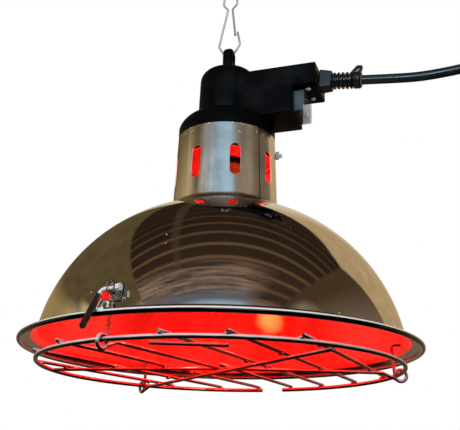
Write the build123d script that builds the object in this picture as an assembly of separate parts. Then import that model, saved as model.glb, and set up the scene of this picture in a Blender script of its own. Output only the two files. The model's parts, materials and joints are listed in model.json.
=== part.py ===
from build123d import *
import os
from math import cos, hypot, pi, radians, sin, sqrt, tan

# Infrared heat lamp for young animals. Millimetres. The lamp hangs from a snap hook.
# The pieces are laid out with z = 0 at the centre of the reflector's rolled rim,
# +X towards the switch box, and are lowered at the end so that the origin is at
# the top of the hook's eye, where the lamp hangs.

# Clearances
seat_gap = 0.3
slip_gap = 0.1
running_gap = 0.05

# Reflector
sheet = 1.0
wall_radius = 160.0
flare_width = 13.0
flare_drop = 6.5
flare_curve = 14.0
bead_radius = 2.3
dome_height = 119.5
dome_curve = 152.0
seat_radius = 52.5
opening_radius = 43.0

# Neck
neck_height = 75.0
neck_foot_radius = 49.0
neck_top_radius = 46.4
foot_flare_width = 3.0
foot_flare_height = 7.0
slot_count = 8
slot_length = 31.0
slot_width = 10.0
slot_rise = 38.6
slot_start_angle = 29.0

# Collar that stands in the neck
moulding = 2.5
collar_side = 10.0
collar_rise = 14.0
collar_curve = 20.0
spigot_depth = 22.0
ledge_width = 10.0
neck_screw_angles = (17.5, 140.0)
neck_screw_drop = 13.0
neck_screw_radius = 2.0
neck_screw_length = 11.0
screw_head_height = 1.8
neck_nut_height = 3.2

# Head housing: cap, eyelet and switch box
cap_foot_radius = 28.5
cap_top_radius = 27.5
cap_height = 51.0
cap_edge = 12.0
eyelet_height = 27.5
eyelet_width = 15.0
eyelet_thickness = 10.0
eyelet_edge = 2.0
eyelet_hole_edge = 1.4
eyelet_hole_radius = 4.0
eyelet_hole_drop = 6.0
box_width = 42.4
box_edge = 1.5
box_top_drop = 12.5
upper_box_length = 92.6
upper_box_height = 22.0
box_overhang = 22.6
lower_box_height = 26.6

# Snap hook
hook_wire_radius = 1.1
hook_half_width = 11.2
hook_foot_half = 5.5
hook_foot_rise = 9.5
hook_neck_rise = 52.0
hook_neck_half = 2.4
hook_eye_half = 6.3
hook_eye_low = 58.0
hook_eye_high = 68.5
hook_nose_rise = 24.0
hook_nose_half = 8.4
gate_joint_gap = 0.8
gate_tip_rise = 21.0
gate_tip_width = 4.0
gate_tip_length = 11.0

# Lampholder and bulb
plate_thickness = 1.5
holder_radius = 22.0
holder_length = 42.0
holder_bore_depth = 32.0
shell_radius = 14.2
shell_wall = 0.5
shell_length = 26.0
contact_radius = 4.0
contact_height = 1.5
holder_screw_radius = 1.5
bulb_radius = 60.0
bulb_length = 106.0
bulb_neck_radius = 19.0
bulb_neck_length = 22.0
bulb_crown = 14.0
bulb_side = 18.0
bulb_base_radius = 13.2
bulb_base_length = 30.0
glass_wall = 1.5

# Rocker switch on the end of the box's lower part
switch_width = 32.0
switch_height = 22.0
switch_depth = 20.0
switch_frame = 2.0
switch_lip = 1.0
rocker_width = 21.0
rocker_height = 14.0
rocker_rise = 4.5
rocker_dip = 2.0
rocker_axle_radius = 1.2
rocker_stub = 1.0
rocker_side_gap = 1.0
rocker_rest_tilt = 8.0
rocker_travel = 16.0
boot_height = 10.5
boot_wall = 1.0
blade_width = 6.3
blade_thickness = 0.8
blade_length = 8.0

# Cord, strain relief and clamp
cord_diameter = 9.0
cord_entry_drop = 10.5
relief_droop = 6.0
relief_root_height = 18.5
relief_root_width = 16.0
relief_root_length = 12.0
relief_rib_radius = 8.0
relief_core_radius = 7.0
relief_rib_count = 5
relief_rib_pitch = 4.0
relief_ring_length = 7.7
relief_loop_height = 7.0
relief_loop_foot = 12.0
relief_loop_top = 5.5
relief_loop_thickness = 4.0
relief_loop_edge = 1.8
relief_slit_length = 6.0
relief_slit_width = 1.6
relief_slit_lean = 42.0
tail_length = 26.0
clamp_screw_spread = 21.0
clamp_screw_inset = 9.5
clamp_screw_radius = 1.5
clamp_screw_head = 2.6
clamp_width = 8.0
clamp_height = 4.0

# Route of the cord from the strain relief to the coil: along X, sideways Y and up Z,
# from the point where the cord leaves the strain relief
cord_route = [
    (0.0, 0.0, 0.0),
    (25.8, 0.0, -2.7117),
    (51.8, -0.4, -5.2),
    (80.8, -1.3, -4.3),
    (109.8, -2.9, -1.7),
    (134.8, -4.1, -0.5),
    (152.8, -4.1, -0.5),
]
# Put-away coil
coil_outer_radius = 59.0
coil_pitch = 9.6
coil_half_turns = 7
coil_exit_radius = 74.0
coil_exit_drop = 12.0
tie_width = 16.0
tie_thickness = 1.5
tie_slack = 1.5
tie_eye_radius = 6.0
tie_eye_wire = 1.5
plug_neck_radius = 6.5
plug_neck_length = 22.0
plug_radius = 18.0
plug_grip_radius = 13.0
plug_body_length = 34.0
plug_pin_radius = 2.4
plug_pin_length = 19.0
plug_pin_spread = 19.0

# Guard
guard_drop = 15.4
guard_inset = 2.0
guard_ring_wire = 1.9
guard_wire = 1.5
ring_gap_start = 85.0
ring_gap = 8.0
weld_gap = 0.05
cross_overhang = 4.0
hub_wire_angle = 82.0
# Angles of both ends of each cross wire round the ring
cross_wire_ends = [
    (-162.3, 128.0),
    (-139.6, 109.0),
    (-120.3, 94.5),
    (-86.1, 69.0),
    (-69.1, 53.9),
    (-49.9, 37.3),
]
through_spoke_angle = 140.3
right_spoke_angle = 20.0
left_spoke_angle = 186.5
hub_gap = 3.7
# Ends of the short tie wire: angle round the hub and distance in from the ring
tie_wire_ends = [
    (-93.66, 24.7),
    (-67.93, 38.2),
]
hanger_eye_radius = 5.1
hanger_leg_length = 24.0
hanger_leg_bend = 8.0
hanger_lean = 2.4
hanger_hole_rise = 10.0
hanger_end = 4.0
hanger_bend = 2.5

# Latch on the reflector's wall
latch_angle = -103.0
latch_rise = 19.0
latch_stand_off = 5.0
latch_slot_width = 10.4
latch_slot_below = 6.3
latch_slot_above = 4.3
bracket_margin = 1.6
bracket_sheet = 1.0
bracket_loop_radius = 2.3
bracket_loop_wire = 0.9
bracket_loop_place = 1.8
ear_place = 6.4
ear_spread = 6.6
ear_reach = 7.5
latch_rivet_radius = 1.2
latch_rivet_head = 2.0
latch_rivet_low = -5.8
latch_rivet_high = 3.6
axle_radius = 1.4
handle_place = -0.6
handle_lean = 42.0
handle_side_lean = 14.7
handle_length = 45.5
handle_bend = 3.0
grip_radius = 2.35
grip_length = 37.5
finger_thickness = 2.4
finger_width = 2.4
finger_place = 3.6
finger_reach = 13.0
link_wall_gap = 2.0
link_hook = 5.5
latch_nut_radius = 3.0
latch_nut_height = 3.0

# Heights and places that follow from the sizes above
seat_z = flare_drop + dome_height
hanger_angles = (right_spoke_angle, through_spoke_angle)
neck_top_z = seat_z + neck_height
shoulder_z = neck_top_z + collar_side
collar_top_z = shoulder_z + collar_rise
cap_top_z = collar_top_z + cap_height
lower_box_length = upper_box_length - box_overhang
box_top_z = cap_top_z - box_top_drop
ledge_z = box_top_z - upper_box_height
box_floor_z = ledge_z - lower_box_height
eyelet_hole_z = cap_top_z + eyelet_height - eyelet_width / 2
hook_wire_z = eyelet_hole_z + eyelet_hole_radius - hook_wire_radius - seat_gap
hang_z = hook_wire_z + hook_eye_high - hook_wire_radius
guard_z = -guard_drop
guard_radius = wall_radius - guard_inset
hanger_leg_start = guard_radius - hanger_leg_length
bead_ring_radius = wall_radius + flare_width
plate_top_z = shoulder_z
holder_top_z = plate_top_z - plate_thickness
holder_foot_z = holder_top_z - holder_length
bore_top_z = holder_foot_z + holder_bore_depth
cord_radius = cord_diameter / 2
cord_entry_z = box_top_z - cord_entry_drop
switch_z = (ledge_z + box_floor_z) / 2


def dome_centre():
    """Centre of the reflector's outer arc, from its two ends and its radius."""
    half_x = (wall_radius - seat_radius) / 2
    half_z = (seat_z - flare_drop) / 2
    half = hypot(half_x, half_z)
    away = sqrt(dome_curve**2 - half**2)
    mid_x = (wall_radius + seat_radius) / 2
    mid_z = (seat_z + flare_drop) / 2
    return mid_x - away * half_z / half, mid_z - away * half_x / half


def dome_radius_at(z):
    """Outer radius of the reflector's wall at a height."""
    centre_x, centre_z = dome_centre()
    return centre_x + sqrt(dome_curve**2 - (z - centre_z) ** 2)


def neck_radius_at(z):
    """Outer radius of the tapered neck at a height."""
    share = (z - seat_z) / neck_height
    return neck_foot_radius + (neck_top_radius - neck_foot_radius) * share


def turned(outline):
    """Solid of revolution about Z of a closed outline drawn in radius and height."""
    return revolve(Plane.XZ * make_face(outline), Axis.Z)


def around(shape, angle):
    """The shape turned about the lamp's axis."""
    return Rot(0, 0, angle) * shape


def rod(start, end, radius):
    """Round bar between two points."""
    along = Vector(end) - Vector(start)
    return extrude(Plane(origin=start, z_dir=along) * Circle(radius), along.length)


def bent_wire(points, bends, radius):
    """Round wire along straight runs with rounded corners."""
    path = FilletPolyline(*points, radius=bends)
    return sweep((path ^ 0) * Circle(radius), path=path)


def block(low, high):
    """Box between two corners."""
    size = [b - a for a, b in zip(low, high)]
    middle = [(a + b) / 2 for a, b in zip(low, high)]
    return Pos(*middle) * Box(*size)


def reflector():
    """Spun bowl with a flat seat for the neck, a flared lip and a rolled bead."""
    outer_arc = RadiusArc((seat_radius, seat_z), (wall_radius, flare_drop), dome_curve)
    inner_arc = RadiusArc(
        (wall_radius - sheet, flare_drop),
        (seat_radius - sheet / 2, seat_z - sheet),
        -(dome_curve - sheet),
    )
    lip_end = bead_ring_radius - bead_radius / 2
    lip_z = bead_radius / 2
    lip_out = RadiusArc((wall_radius, flare_drop), (lip_end, lip_z + sheet / 2), -flare_curve)
    lip_in = RadiusArc(
        (lip_end, lip_z - sheet / 2),
        (wall_radius - sheet, flare_drop),
        flare_curve + sheet,
    )
    outline = [
        Line((opening_radius, seat_z), (seat_radius, seat_z)),
        outer_arc,
        lip_out,
        Line((lip_end, lip_z + sheet / 2), (lip_end, lip_z - sheet / 2)),
        lip_in,
        inner_arc,
        Line((seat_radius - sheet / 2, seat_z - sheet), (opening_radius, seat_z - sheet)),
        Line((opening_radius, seat_z - sheet), (opening_radius, seat_z)),
    ]
    bowl = turned(outline) + Torus(bead_ring_radius, bead_radius)
    for angle in hanger_angles:
        hole = rod(
            (wall_radius - flare_width, 0, hanger_hole_rise),
            (wall_radius + flare_width, 0, hanger_hole_rise),
            guard_wire + seat_gap,
        )
        bowl -= around(hole, angle)
    half = latch_slot_width / 2
    wall = dome_radius_at(latch_rise)
    slot = block(
        (wall - ear_reach, -half, latch_rise - latch_slot_below),
        (wall + ear_reach, half, latch_rise + latch_slot_above),
    )
    bowl -= around(slot, latch_angle)
    for place in rivet_places():
        rivet_hole = Pos(*place) * Cylinder(latch_rivet_radius + slip_gap, ear_reach)
        bowl -= around(latch_frame() * rivet_hole, latch_angle)
    return bowl


def neck():
    """Tapered tube with a flared foot and a ring of upright slots."""
    knee_z = seat_z + foot_flare_height
    knee = neck_radius_at(knee_z)
    toe = knee + foot_flare_width
    outline = [
        Line((knee - sheet, seat_z), (toe, seat_z)),
        Line((toe, seat_z), (toe, seat_z + sheet)),
        RadiusArc((toe, seat_z + sheet), (knee, knee_z), foot_flare_height),
        Line((knee, knee_z), (neck_top_radius, neck_top_z)),
        Line((neck_top_radius, neck_top_z), (neck_top_radius - sheet, neck_top_z)),
        Line((neck_top_radius - sheet, neck_top_z), (knee - sheet, knee_z)),
        Line((knee - sheet, knee_z), (knee - sheet, seat_z)),
    ]
    tube = turned(outline)
    upright = Plane(origin=(0, 0, seat_z + slot_rise), x_dir=(0, 0, 1), z_dir=(1, 0, 0))
    slot = extrude(upright * SlotOverall(slot_length, slot_width), 2 * neck_foot_radius)
    for number in range(slot_count):
        tube -= around(slot, slot_start_angle + number * 360 / slot_count)
    for angle in neck_screw_angles:
        tube -= around(neck_screw_hole(), angle)
    return tube


def neck_screw_hole():
    """Cutter for one screw through the neck and the collar's spigot."""
    z = neck_top_z - neck_screw_drop
    return rod((neck_top_radius / 2, 0, z), (2 * neck_top_radius, 0, z), neck_screw_radius + slip_gap)


def neck_screws():
    """Screws through the neck, with their heads inside the collar's spigot."""
    z = neck_top_z - neck_screw_drop
    inside = spigot_radius() - moulding - seat_gap
    head = rod((inside - screw_head_height, 0, z), (inside, 0, z), 2 * neck_screw_radius)
    shank = rod((inside, 0, z), (inside + neck_screw_length, 0, z), neck_screw_radius)
    screw = head + shank
    return [around(screw, angle) for angle in neck_screw_angles]


def neck_nuts():
    """Hexagon nuts on the screws' outer ends, flat against the neck."""
    z = neck_top_z - neck_screw_drop
    start = neck_radius_at(z) + seat_gap
    face = Plane(origin=(start, 0, z), x_dir=(0, 1, 0), z_dir=(1, 0, 0))
    nut = extrude(face * RegularPolygon(2 * neck_screw_radius, 6), neck_nut_height)
    nut -= neck_screw_hole()
    return [around(nut, angle) for angle in neck_screw_angles]


def spigot_radius():
    """Outer radius of the collar's spigot inside the neck, at the neck's narrower end."""
    narrow = min(neck_top_radius, neck_radius_at(neck_top_z - spigot_depth))
    return narrow - sheet - seat_gap


def collar_envelope():
    """The collar's outer form as a full solid, for cutting what stands round it."""
    outline = [
        Line((0, neck_top_z), (neck_top_radius, neck_top_z)),
        Line((neck_top_radius, neck_top_z), (neck_top_radius, shoulder_z)),
        RadiusArc((neck_top_radius, shoulder_z), (cap_foot_radius, collar_top_z), -collar_curve),
        Line((cap_foot_radius, collar_top_z), (0, collar_top_z)),
        Line((0, collar_top_z), (0, neck_top_z)),
    ]
    return turned(outline)


def neck_collar():
    """Moulded collar: spigot in the neck, rounded shoulder, ledge for the lampholder."""
    spigot = spigot_radius()
    spigot_z = neck_top_z - spigot_depth
    body = collar_envelope()
    body += Pos(0, 0, (spigot_z + neck_top_z) / 2) * Cylinder(spigot, spigot_depth)
    inner = spigot - moulding
    hollow = Pos(0, 0, (spigot_z + shoulder_z) / 2) * Cylinder(inner, shoulder_z - spigot_z)
    crown = collar_top_z - moulding
    hollow += Pos(0, 0, (spigot_z + collar_top_z) / 2) * Cylinder(
        inner - ledge_width, collar_top_z - spigot_z - 2 * moulding
    )
    hollow += Pos(0, 0, crown) * Cylinder(cap_foot_radius - 2 * moulding, 4 * moulding)
    body -= hollow
    for angle in neck_screw_angles:
        body -= around(neck_screw_hole(), angle)
    for side in (-1, 1):
        hole = Cylinder(holder_screw_radius + slip_gap, 4 * moulding)
        body -= Pos(0, side * holder_screw_place(), shoulder_z + moulding) * hole
    return body


def holder_screw_place():
    """Distance of the lampholder plate's screws from the axis, under the ledge."""
    return spigot_radius() - moulding - ledge_width / 2


def cap_solid(inset):
    """The round cap as a full solid, drawn in by a wall all round but not at its foot."""
    foot = cap_foot_radius - inset
    side = cap_top_radius - inset
    top = cap_top_z - inset
    edge = cap_edge - inset
    outline = [
        Line((0, collar_top_z), (foot, collar_top_z)),
        Line((foot, collar_top_z), (side, top - edge)),
        RadiusArc((side, top - edge), (side - edge, top), -edge),
        Line((side - edge, top), (0, top)),
        Line((0, top), (0, collar_top_z)),
    ]
    return turned(outline)


def box_solid(length, floor_z, inset):
    """One step of the switch box as a full solid, its long top edges slightly rounded."""
    shape = block(
        (0, -box_width / 2 + inset, floor_z),
        (length - inset, box_width / 2 - inset, box_top_z - inset),
    )
    if inset:
        return shape
    return fillet(shape.edges().filter_by(Axis.X).group_by(Axis.Z)[-1], box_edge)


def eyelet():
    """Rounded lug on top of the cap with a tall hole for the hook's wire."""
    lug_z = cap_top_z - moulding / 2
    lug_height = eyelet_hole_z - lug_z
    lug = Pos(0, 0, lug_z + lug_height / 2) * Box(eyelet_thickness, eyelet_width, lug_height)
    lug += Pos(0, 0, eyelet_hole_z) * Rot(0, 90, 0) * Cylinder(eyelet_width / 2, eyelet_thickness)
    sides = [
        edge
        for edge in lug.edges()
        if edge.center().Z > cap_top_z and abs(edge.center().X) > eyelet_thickness / 4
    ]
    lug = fillet(sides, eyelet_edge)
    middle_z = eyelet_hole_z - eyelet_hole_drop / 2
    upright = Plane(origin=(0, 0, middle_z), x_dir=(0, 0, 1), z_dir=(1, 0, 0))
    hole = upright * SlotCenterToCenter(eyelet_hole_drop, 2 * eyelet_hole_radius)
    pierced = lug - extrude(hole, eyelet_thickness, both=True)
    rims = [
        edge
        for edge in pierced.edges()
        if hypot(edge.center().Y, edge.center().Z - middle_z) < eyelet_width / 2
        and abs(edge.center().X) > eyelet_thickness / 2 - eyelet_hole_edge
    ]
    return fillet(rims, eyelet_hole_edge)


def head_housing():
    """Cap, eyelet and hollow two-step switch box in one moulding."""
    body = cap_solid(0) + box_solid(upper_box_length, ledge_z, 0)
    body += box_solid(lower_box_length, box_floor_z, 0)
    body -= cap_solid(moulding)
    body -= box_solid(upper_box_length, ledge_z + moulding, moulding)
    body -= box_solid(lower_box_length, box_floor_z - moulding, moulding)
    body -= collar_envelope()
    body += eyelet()
    body -= block(
        (lower_box_length - 2 * moulding, -switch_cut_width() / 2, switch_z - switch_cut_height() / 2),
        (lower_box_length + moulding, switch_cut_width() / 2, switch_z + switch_cut_height() / 2),
    )
    body -= relief_neck(seat_gap)
    for place in clamp_screw_places():
        body -= Pos(*place, ledge_z) * Cylinder(clamp_screw_radius + slip_gap, 4 * moulding)
    return body


def box_cover():
    """Plate that closes the underside of the box's lower step, round the collar."""
    half = box_width / 2 - moulding - slip_gap
    plate = block(
        (0, -half, box_floor_z),
        (lower_box_length - moulding - slip_gap, half, box_floor_z + moulding),
    )
    clear = collar_envelope() + Pos(0, 0, box_floor_z) * Cylinder(cap_foot_radius, 4 * moulding)
    grown = Pos(slip_gap, 0, 0) * collar_envelope()
    plate -= clear
    plate -= grown
    return plate


def switch_cut_width():
    """Width of the panel hole for the switch."""
    return switch_width - 2 * (boot_wall + slip_gap + switch_lip)


def switch_cut_height():
    """Height of the panel hole for the switch."""
    return switch_height - 2 * (boot_wall + slip_gap + switch_lip)


def switch_housing():
    """Body of the rocker switch with its frame outside the box's end wall."""
    half_y = switch_cut_width() / 2 - slip_gap
    half_z = switch_cut_height() / 2 - slip_gap
    end = lower_box_length
    body = block((end - switch_depth, -half_y, switch_z - half_z), (end, half_y, switch_z + half_z))
    frame_y = switch_width / 2 - boot_wall - slip_gap
    frame_z = switch_height / 2 - boot_wall - slip_gap
    body += block(
        (end, -frame_y, switch_z - frame_z),
        (end + switch_frame, frame_y, switch_z + frame_z),
    )
    well_y = rocker_width / 2 + rocker_side_gap
    well_z = rocker_height / 2 + seat_gap
    body -= block(
        (end - switch_depth / 2, -well_y, switch_z - well_z),
        (end + 2 * switch_frame, well_y, switch_z + well_z),
    )
    axle = Pos(end, 0, switch_z) * Cylinder(
        rocker_axle_radius + running_gap, rocker_height + 2 * rocker_stub + 2 * seat_gap
    )
    return body - axle


def rocker():
    """Rocker with two sloping faces on a short axle, at rest pressed at one end."""
    half = rocker_width / 2
    back = -rocker_dip
    outline = Polyline(
        (back, -half),
        (rocker_rise, -half),
        (rocker_rise - rocker_dip, 0),
        (rocker_rise, half),
        (back, half),
        (back - rocker_dip, 0),
        close=True,
    )
    body = extrude(make_face(outline), rocker_height / 2, both=True)
    body += Cylinder(rocker_axle_radius, rocker_height + 2 * rocker_stub)
    return Pos(lower_box_length, 0, switch_z) * Rot(0, 0, rocker_rest_tilt) * body


def switch_boot():
    """Clear soft cover over the rocker, open on the side of the box."""
    end = lower_box_length
    cover = block(
        (end, -switch_width / 2, switch_z - switch_height / 2),
        (end + boot_height, switch_width / 2, switch_z + switch_height / 2),
    )
    cover = fillet(cover.edges().filter_by(Axis.X), 2 * boot_wall)
    cover -= block(
        (end - boot_wall, -switch_width / 2 + boot_wall, switch_z - switch_height / 2 + boot_wall),
        (
            end + boot_height - boot_wall,
            switch_width / 2 - boot_wall,
            switch_z + switch_height / 2 - boot_wall,
        ),
    )
    return cover


def switch_terminals():
    """Three flat blades at the back of the switch."""
    end = lower_box_length - switch_depth
    step = switch_cut_width() / 4
    blades = []
    for number in (-1, 0, 1):
        blade = block(
            (end - blade_length, number * step - blade_thickness / 2, switch_z - blade_width / 2),
            (end, number * step + blade_thickness / 2, switch_z + blade_width / 2),
        )
        blades.append(blade)
    return blades


def lampholder_plate():
    """Disc under the collar's ledge that carries the lampholder."""
    disc = Cylinder(spigot_radius() - moulding - seat_gap, plate_thickness)
    disc = Pos(0, 0, plate_top_z - plate_thickness / 2) * disc
    for side in (-1, 1):
        hole = Cylinder(holder_screw_radius + slip_gap, 4 * plate_thickness)
        disc -= Pos(0, side * holder_screw_place(), plate_top_z) * hole
    wire_hole = Pos(-holder_screw_place(), 0, plate_top_z)
    return disc - wire_hole * Cylinder(cord_radius / 2 + slip_gap, 4 * plate_thickness)


def holder_screws():
    """Screws that hold the lampholder plate up against the collar's ledge."""
    screws = []
    for side in (-1, 1):
        head_z = holder_top_z - screw_head_height / 2
        head = Pos(0, 0, head_z) * Cylinder(2 * holder_screw_radius, screw_head_height)
        length = plate_thickness + moulding
        shank = Pos(0, 0, holder_top_z + length / 2) * Cylinder(holder_screw_radius, length)
        screws.append(Pos(0, side * holder_screw_place(), 0) * (head + shank))
    return screws


def lampholder():
    """Ceramic lampholder with a waist and a bore for the screw shell."""
    shoulder = holder_top_z - holder_length / 3
    waist = holder_radius * 0.86
    outline = [
        Line((0, holder_top_z), (waist, holder_top_z)),
        Line((waist, holder_top_z), (waist, shoulder)),
        Line((waist, shoulder), (holder_radius, shoulder - sheet)),
        Line((holder_radius, shoulder - sheet), (holder_radius, holder_foot_z + sheet)),
        Line((holder_radius, holder_foot_z + sheet), (holder_radius - sheet, holder_foot_z)),
        Line((holder_radius - sheet, holder_foot_z), (0, holder_foot_z)),
        Line((0, holder_foot_z), (0, holder_top_z)),
    ]
    bore = Pos(0, 0, holder_foot_z + holder_bore_depth / 2)
    return turned(outline) - bore * Cylinder(shell_radius + slip_gap, holder_bore_depth)


def screw_shell():
    """Brass sleeve in the lampholder's bore."""
    middle = Pos(0, 0, bore_top_z - shell_length / 2)
    inside = Cylinder(shell_radius - shell_wall, 2 * shell_length)
    return middle * (Cylinder(shell_radius, shell_length) - inside)


def centre_contact():
    """Brass contact at the top of the lampholder's bore."""
    return Pos(0, 0, bore_top_z - contact_height / 2) * Cylinder(contact_radius, contact_height)


def bulb_top_z():
    """Height of the top of the bulb's screw base, under its own contact."""
    return bore_top_z - 2 * contact_height


def bulb_contact():
    """Solder contact on top of the bulb's base, against the lampholder's contact."""
    middle = Pos(0, 0, bulb_top_z() + contact_height / 2)
    return middle * Cone(contact_radius, contact_radius / 2, contact_height)


def bulb_base():
    """Screw base of the bulb, tapered in to its insulator at the top."""
    top = bulb_top_z()
    foot = top - bulb_base_length
    taper = top - bulb_base_length / 4
    outline = [
        Line((0, foot), (bulb_base_radius, foot)),
        Line((bulb_base_radius, foot), (bulb_base_radius, taper)),
        Line((bulb_base_radius, taper), (contact_radius + sheet, top)),
        Line((contact_radius + sheet, top), (0, top)),
        Line((0, top), (0, foot)),
    ]
    return turned(outline)


def bulb_outline(inset):
    """Half outline of the bulb from its neck's top to the middle of its face."""
    top = bulb_top_z() - bulb_base_length
    neck_z = top - bulb_neck_length
    face_z = top - bulb_length
    side_z = face_z + bulb_crown
    back_z = side_z + bulb_side
    step_z = top - bulb_neck_length / 3
    base = bulb_base_radius - inset
    neck_radius = bulb_neck_radius - inset
    side = bulb_radius - inset
    crown = bulb_crown - inset
    return [
        Line((base, top), (neck_radius, step_z)),
        Line((neck_radius, step_z), (neck_radius, neck_z)),
        RadiusArc((neck_radius, neck_z), (side, back_z), bulb_length),
        Line((side, back_z), (side, side_z)),
        RadiusArc((side, side_z), (0, face_z + inset), (side**2 / crown + crown) / 2),
    ]


def bulb_glass():
    """Pressed reflector bulb: thin neck, widening back, short side and crowned face."""
    outside = bulb_outline(0)
    inside = bulb_outline(glass_wall)
    ends = [
        Line(outside[0] @ 0, inside[0] @ 0),
        Line(outside[-1] @ 1, inside[-1] @ 1),
    ]
    return turned(outside + inside + ends)


def relief_frame():
    """Place and direction of the strain relief on the box's end wall."""
    return Pos(upper_box_length, 0, cord_entry_z) * Rot(0, relief_droop, 0)


def relief_neck(grow):
    """Square neck of the strain relief through the box's end wall."""
    half_y = relief_root_width / 2 - moulding + grow
    half_z = relief_root_height / 2 - moulding + grow
    through = 2 * moulding if grow else moulding
    return block(
        (upper_box_length - through, -half_y, cord_entry_z - half_z),
        (upper_box_length, half_y, cord_entry_z + half_z),
    )


def relief_length():
    """Length of the strain relief outside the box."""
    return relief_root_length + relief_rib_count * relief_rib_pitch + relief_ring_length


def relief_loop():
    """Slanted loop that stands on the ribs and the end ring, with a slit in it."""
    end = relief_length()
    sunk = relief_core_radius - relief_loop_edge
    top = relief_rib_radius + relief_loop_height
    corners = Polyline(
        (end - relief_loop_foot, sunk),
        (end - relief_loop_foot, relief_core_radius),
        (end - relief_loop_top, top),
        (end, top),
        (end - relief_loop_edge, sunk),
        close=True,
    )
    face = make_face(corners)
    upper = face.vertices().group_by(Axis.Y)[-1]
    face = fillet(upper, relief_loop_edge)
    middle = (end - relief_loop_top, relief_rib_radius + relief_slit_width)
    slit = Pos(*middle) * Rot(0, 0, relief_slit_lean) * SlotOverall(relief_slit_length, relief_slit_width)
    return extrude(Plane.XZ * (face - slit), relief_loop_thickness / 2, both=True)


def strain_relief():
    """Moulded strain relief: square root, ribs, end ring and a slit loop on top."""
    root_start = Plane(origin=(0, 0, 0), x_dir=(0, 1, 0), z_dir=(1, 0, 0))
    root_end = root_start.offset(relief_root_length)
    taper = loft(
        [
            root_start * Rectangle(relief_root_width, relief_root_height),
            root_end * Rectangle(relief_root_width - moulding, relief_root_height - moulding),
        ]
    )
    ribs_end = relief_root_length + relief_rib_count * relief_rib_pitch
    along_x = Rot(0, 90, 0)
    core = Pos((relief_root_length + ribs_end) / 2, 0, 0) * along_x
    body = taper + core * Cylinder(relief_core_radius, ribs_end - relief_root_length)
    for number in range(relief_rib_count):
        start = relief_root_length + (number + 0.25) * relief_rib_pitch
        rib = Pos(start + relief_rib_pitch / 4, 0, 0) * along_x
        body += rib * Cylinder(relief_rib_radius, relief_rib_pitch / 2)
    ring = Pos(ribs_end + relief_ring_length / 2, 0, 0) * along_x
    body += ring * Cylinder(relief_rib_radius, relief_ring_length)
    root = relief_frame() * (body + relief_loop())
    root -= block(
        (0, -box_width, ledge_z - box_width),
        (upper_box_length, box_width, box_top_z + box_width),
    )
    return root + relief_neck(0)


def cord_tail():
    """End of the cord inside the box, from the strain relief to past the clamp."""
    end = upper_box_length - moulding
    return rod((end - tail_length, 0, cord_entry_z), (end, 0, cord_entry_z), cord_radius)


def clamp_screw_places():
    """Places of the two clamp screws under the overhang of the box."""
    x = upper_box_length - clamp_screw_inset
    return [(x, -clamp_screw_spread / 2), (x, clamp_screw_spread / 2)]


def cord_clamp():
    """Bar inside the box that presses the cord's tail up, with the screws in its ends."""
    x = upper_box_length - clamp_screw_inset
    top = cord_entry_z - cord_radius
    half_y = clamp_screw_spread / 2 + 2 * clamp_screw_radius
    bar = block((x - clamp_width / 2, -half_y, top - clamp_height), (x + clamp_width / 2, half_y, top))
    for place in clamp_screw_places():
        bar -= Pos(*place, top) * Cylinder(clamp_screw_radius + slip_gap, 4 * clamp_height)
    return bar


def clamp_screws():
    """Pan-head screws up through the overhang into the clamp bar."""
    top = cord_entry_z - cord_radius
    screws = []
    for place in clamp_screw_places():
        shank = Pos(*place, (ledge_z + top) / 2) * Cylinder(clamp_screw_radius, top - ledge_z)
        head = Pos(*place, ledge_z - screw_head_height / 2)
        head *= Cone(clamp_screw_head / 2, clamp_screw_head, screw_head_height)
        screws.append(shank + head)
    return screws


def cord_points():
    """The cord's route in the lamp's frame."""
    start = relief_frame() * Pos(relief_length(), 0, 0)
    origin = start.position
    return [origin + Vector(*point) for point in cord_route]


def cord_bends(points):
    """Bend radius at each inner point of the route, as large as its runs allow."""
    bends = []
    for before, here, after in zip(points, points[1:], points[2:]):
        run_in = here - before
        run_out = after - here
        half_turn = radians(run_in.get_angle(run_out)) / 2
        bends.append(0.45 * min(run_in.length, run_out.length) / tan(half_turn))
    return bends


def cord():
    """Free stretch of the cord from the strain relief to the coil."""
    points = cord_points()
    bends = cord_bends(points)
    print("cord bend radii", [round(bend) for bend in bends])
    path = FilletPolyline(*points, radius=bends)
    tube = sweep((path ^ 0) * Circle(cord_radius), path=path)
    share = tube.volume / (pi * cord_radius**2 * path.length)
    print("cord length", round(path.length, 1), "volume against section and length", round(share, 4))
    return tube


def coil_arcs():
    """The coil's line: half turns that spiral in, one that climbs, half turns out."""
    top = cord_points()[-1] + Vector(cord_diameter, 0, 0)
    arcs = [Line(top - Vector(cord_diameter, 0, 0), top)]
    place = top
    for number in range(2 * coil_half_turns):
        steps_in = min(number, 2 * coil_half_turns - number)
        radius = coil_outer_radius - steps_in * coil_pitch / 2
        falls = number % 2 == 0
        side = 1 if falls else -1
        climb = coil_pitch if number == coil_half_turns else 0
        end = place + Vector(0, climb, -2 * radius * side)
        middle = place + Vector(side * hypot(radius, climb / 2), climb / 2, -radius * side)
        arcs.append(ThreePointArc(place, middle, end))
        place = end
    out = place + Vector(coil_exit_radius, 0, -coil_exit_radius)
    slant = coil_exit_radius * sqrt(0.5)
    middle = place + Vector(slant, 0, slant - coil_exit_radius)
    arcs.append(ThreePointArc(place, middle, out))
    arcs.append(Line(out, out - Vector(0, 0, coil_exit_drop)))
    return arcs


def coil_path():
    """The coil's arcs joined into one line."""
    return Wire(coil_arcs())


def coil_self_gap(path):
    """Least gap of the coil to itself, on points along its line."""
    count = 900
    points = [path @ (number / count) for number in range(count + 1)]
    step = path.length / count
    skip = int(2 * coil_outer_radius / step)
    least = path.length
    for first in range(0, count + 1):
        for second in range(first + skip, count + 1):
            least = min(least, (points[first] - points[second]).length)
    return least - cord_diameter


def cord_coil():
    """Put-away length of the cord, wound in two layers and hanging in its tie."""
    path = coil_path()
    print("coil length", round(path.length, 1), "least gap", round(coil_self_gap(path), 2))
    return sweep((path ^ 0) * Circle(cord_radius), path=path)


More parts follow.
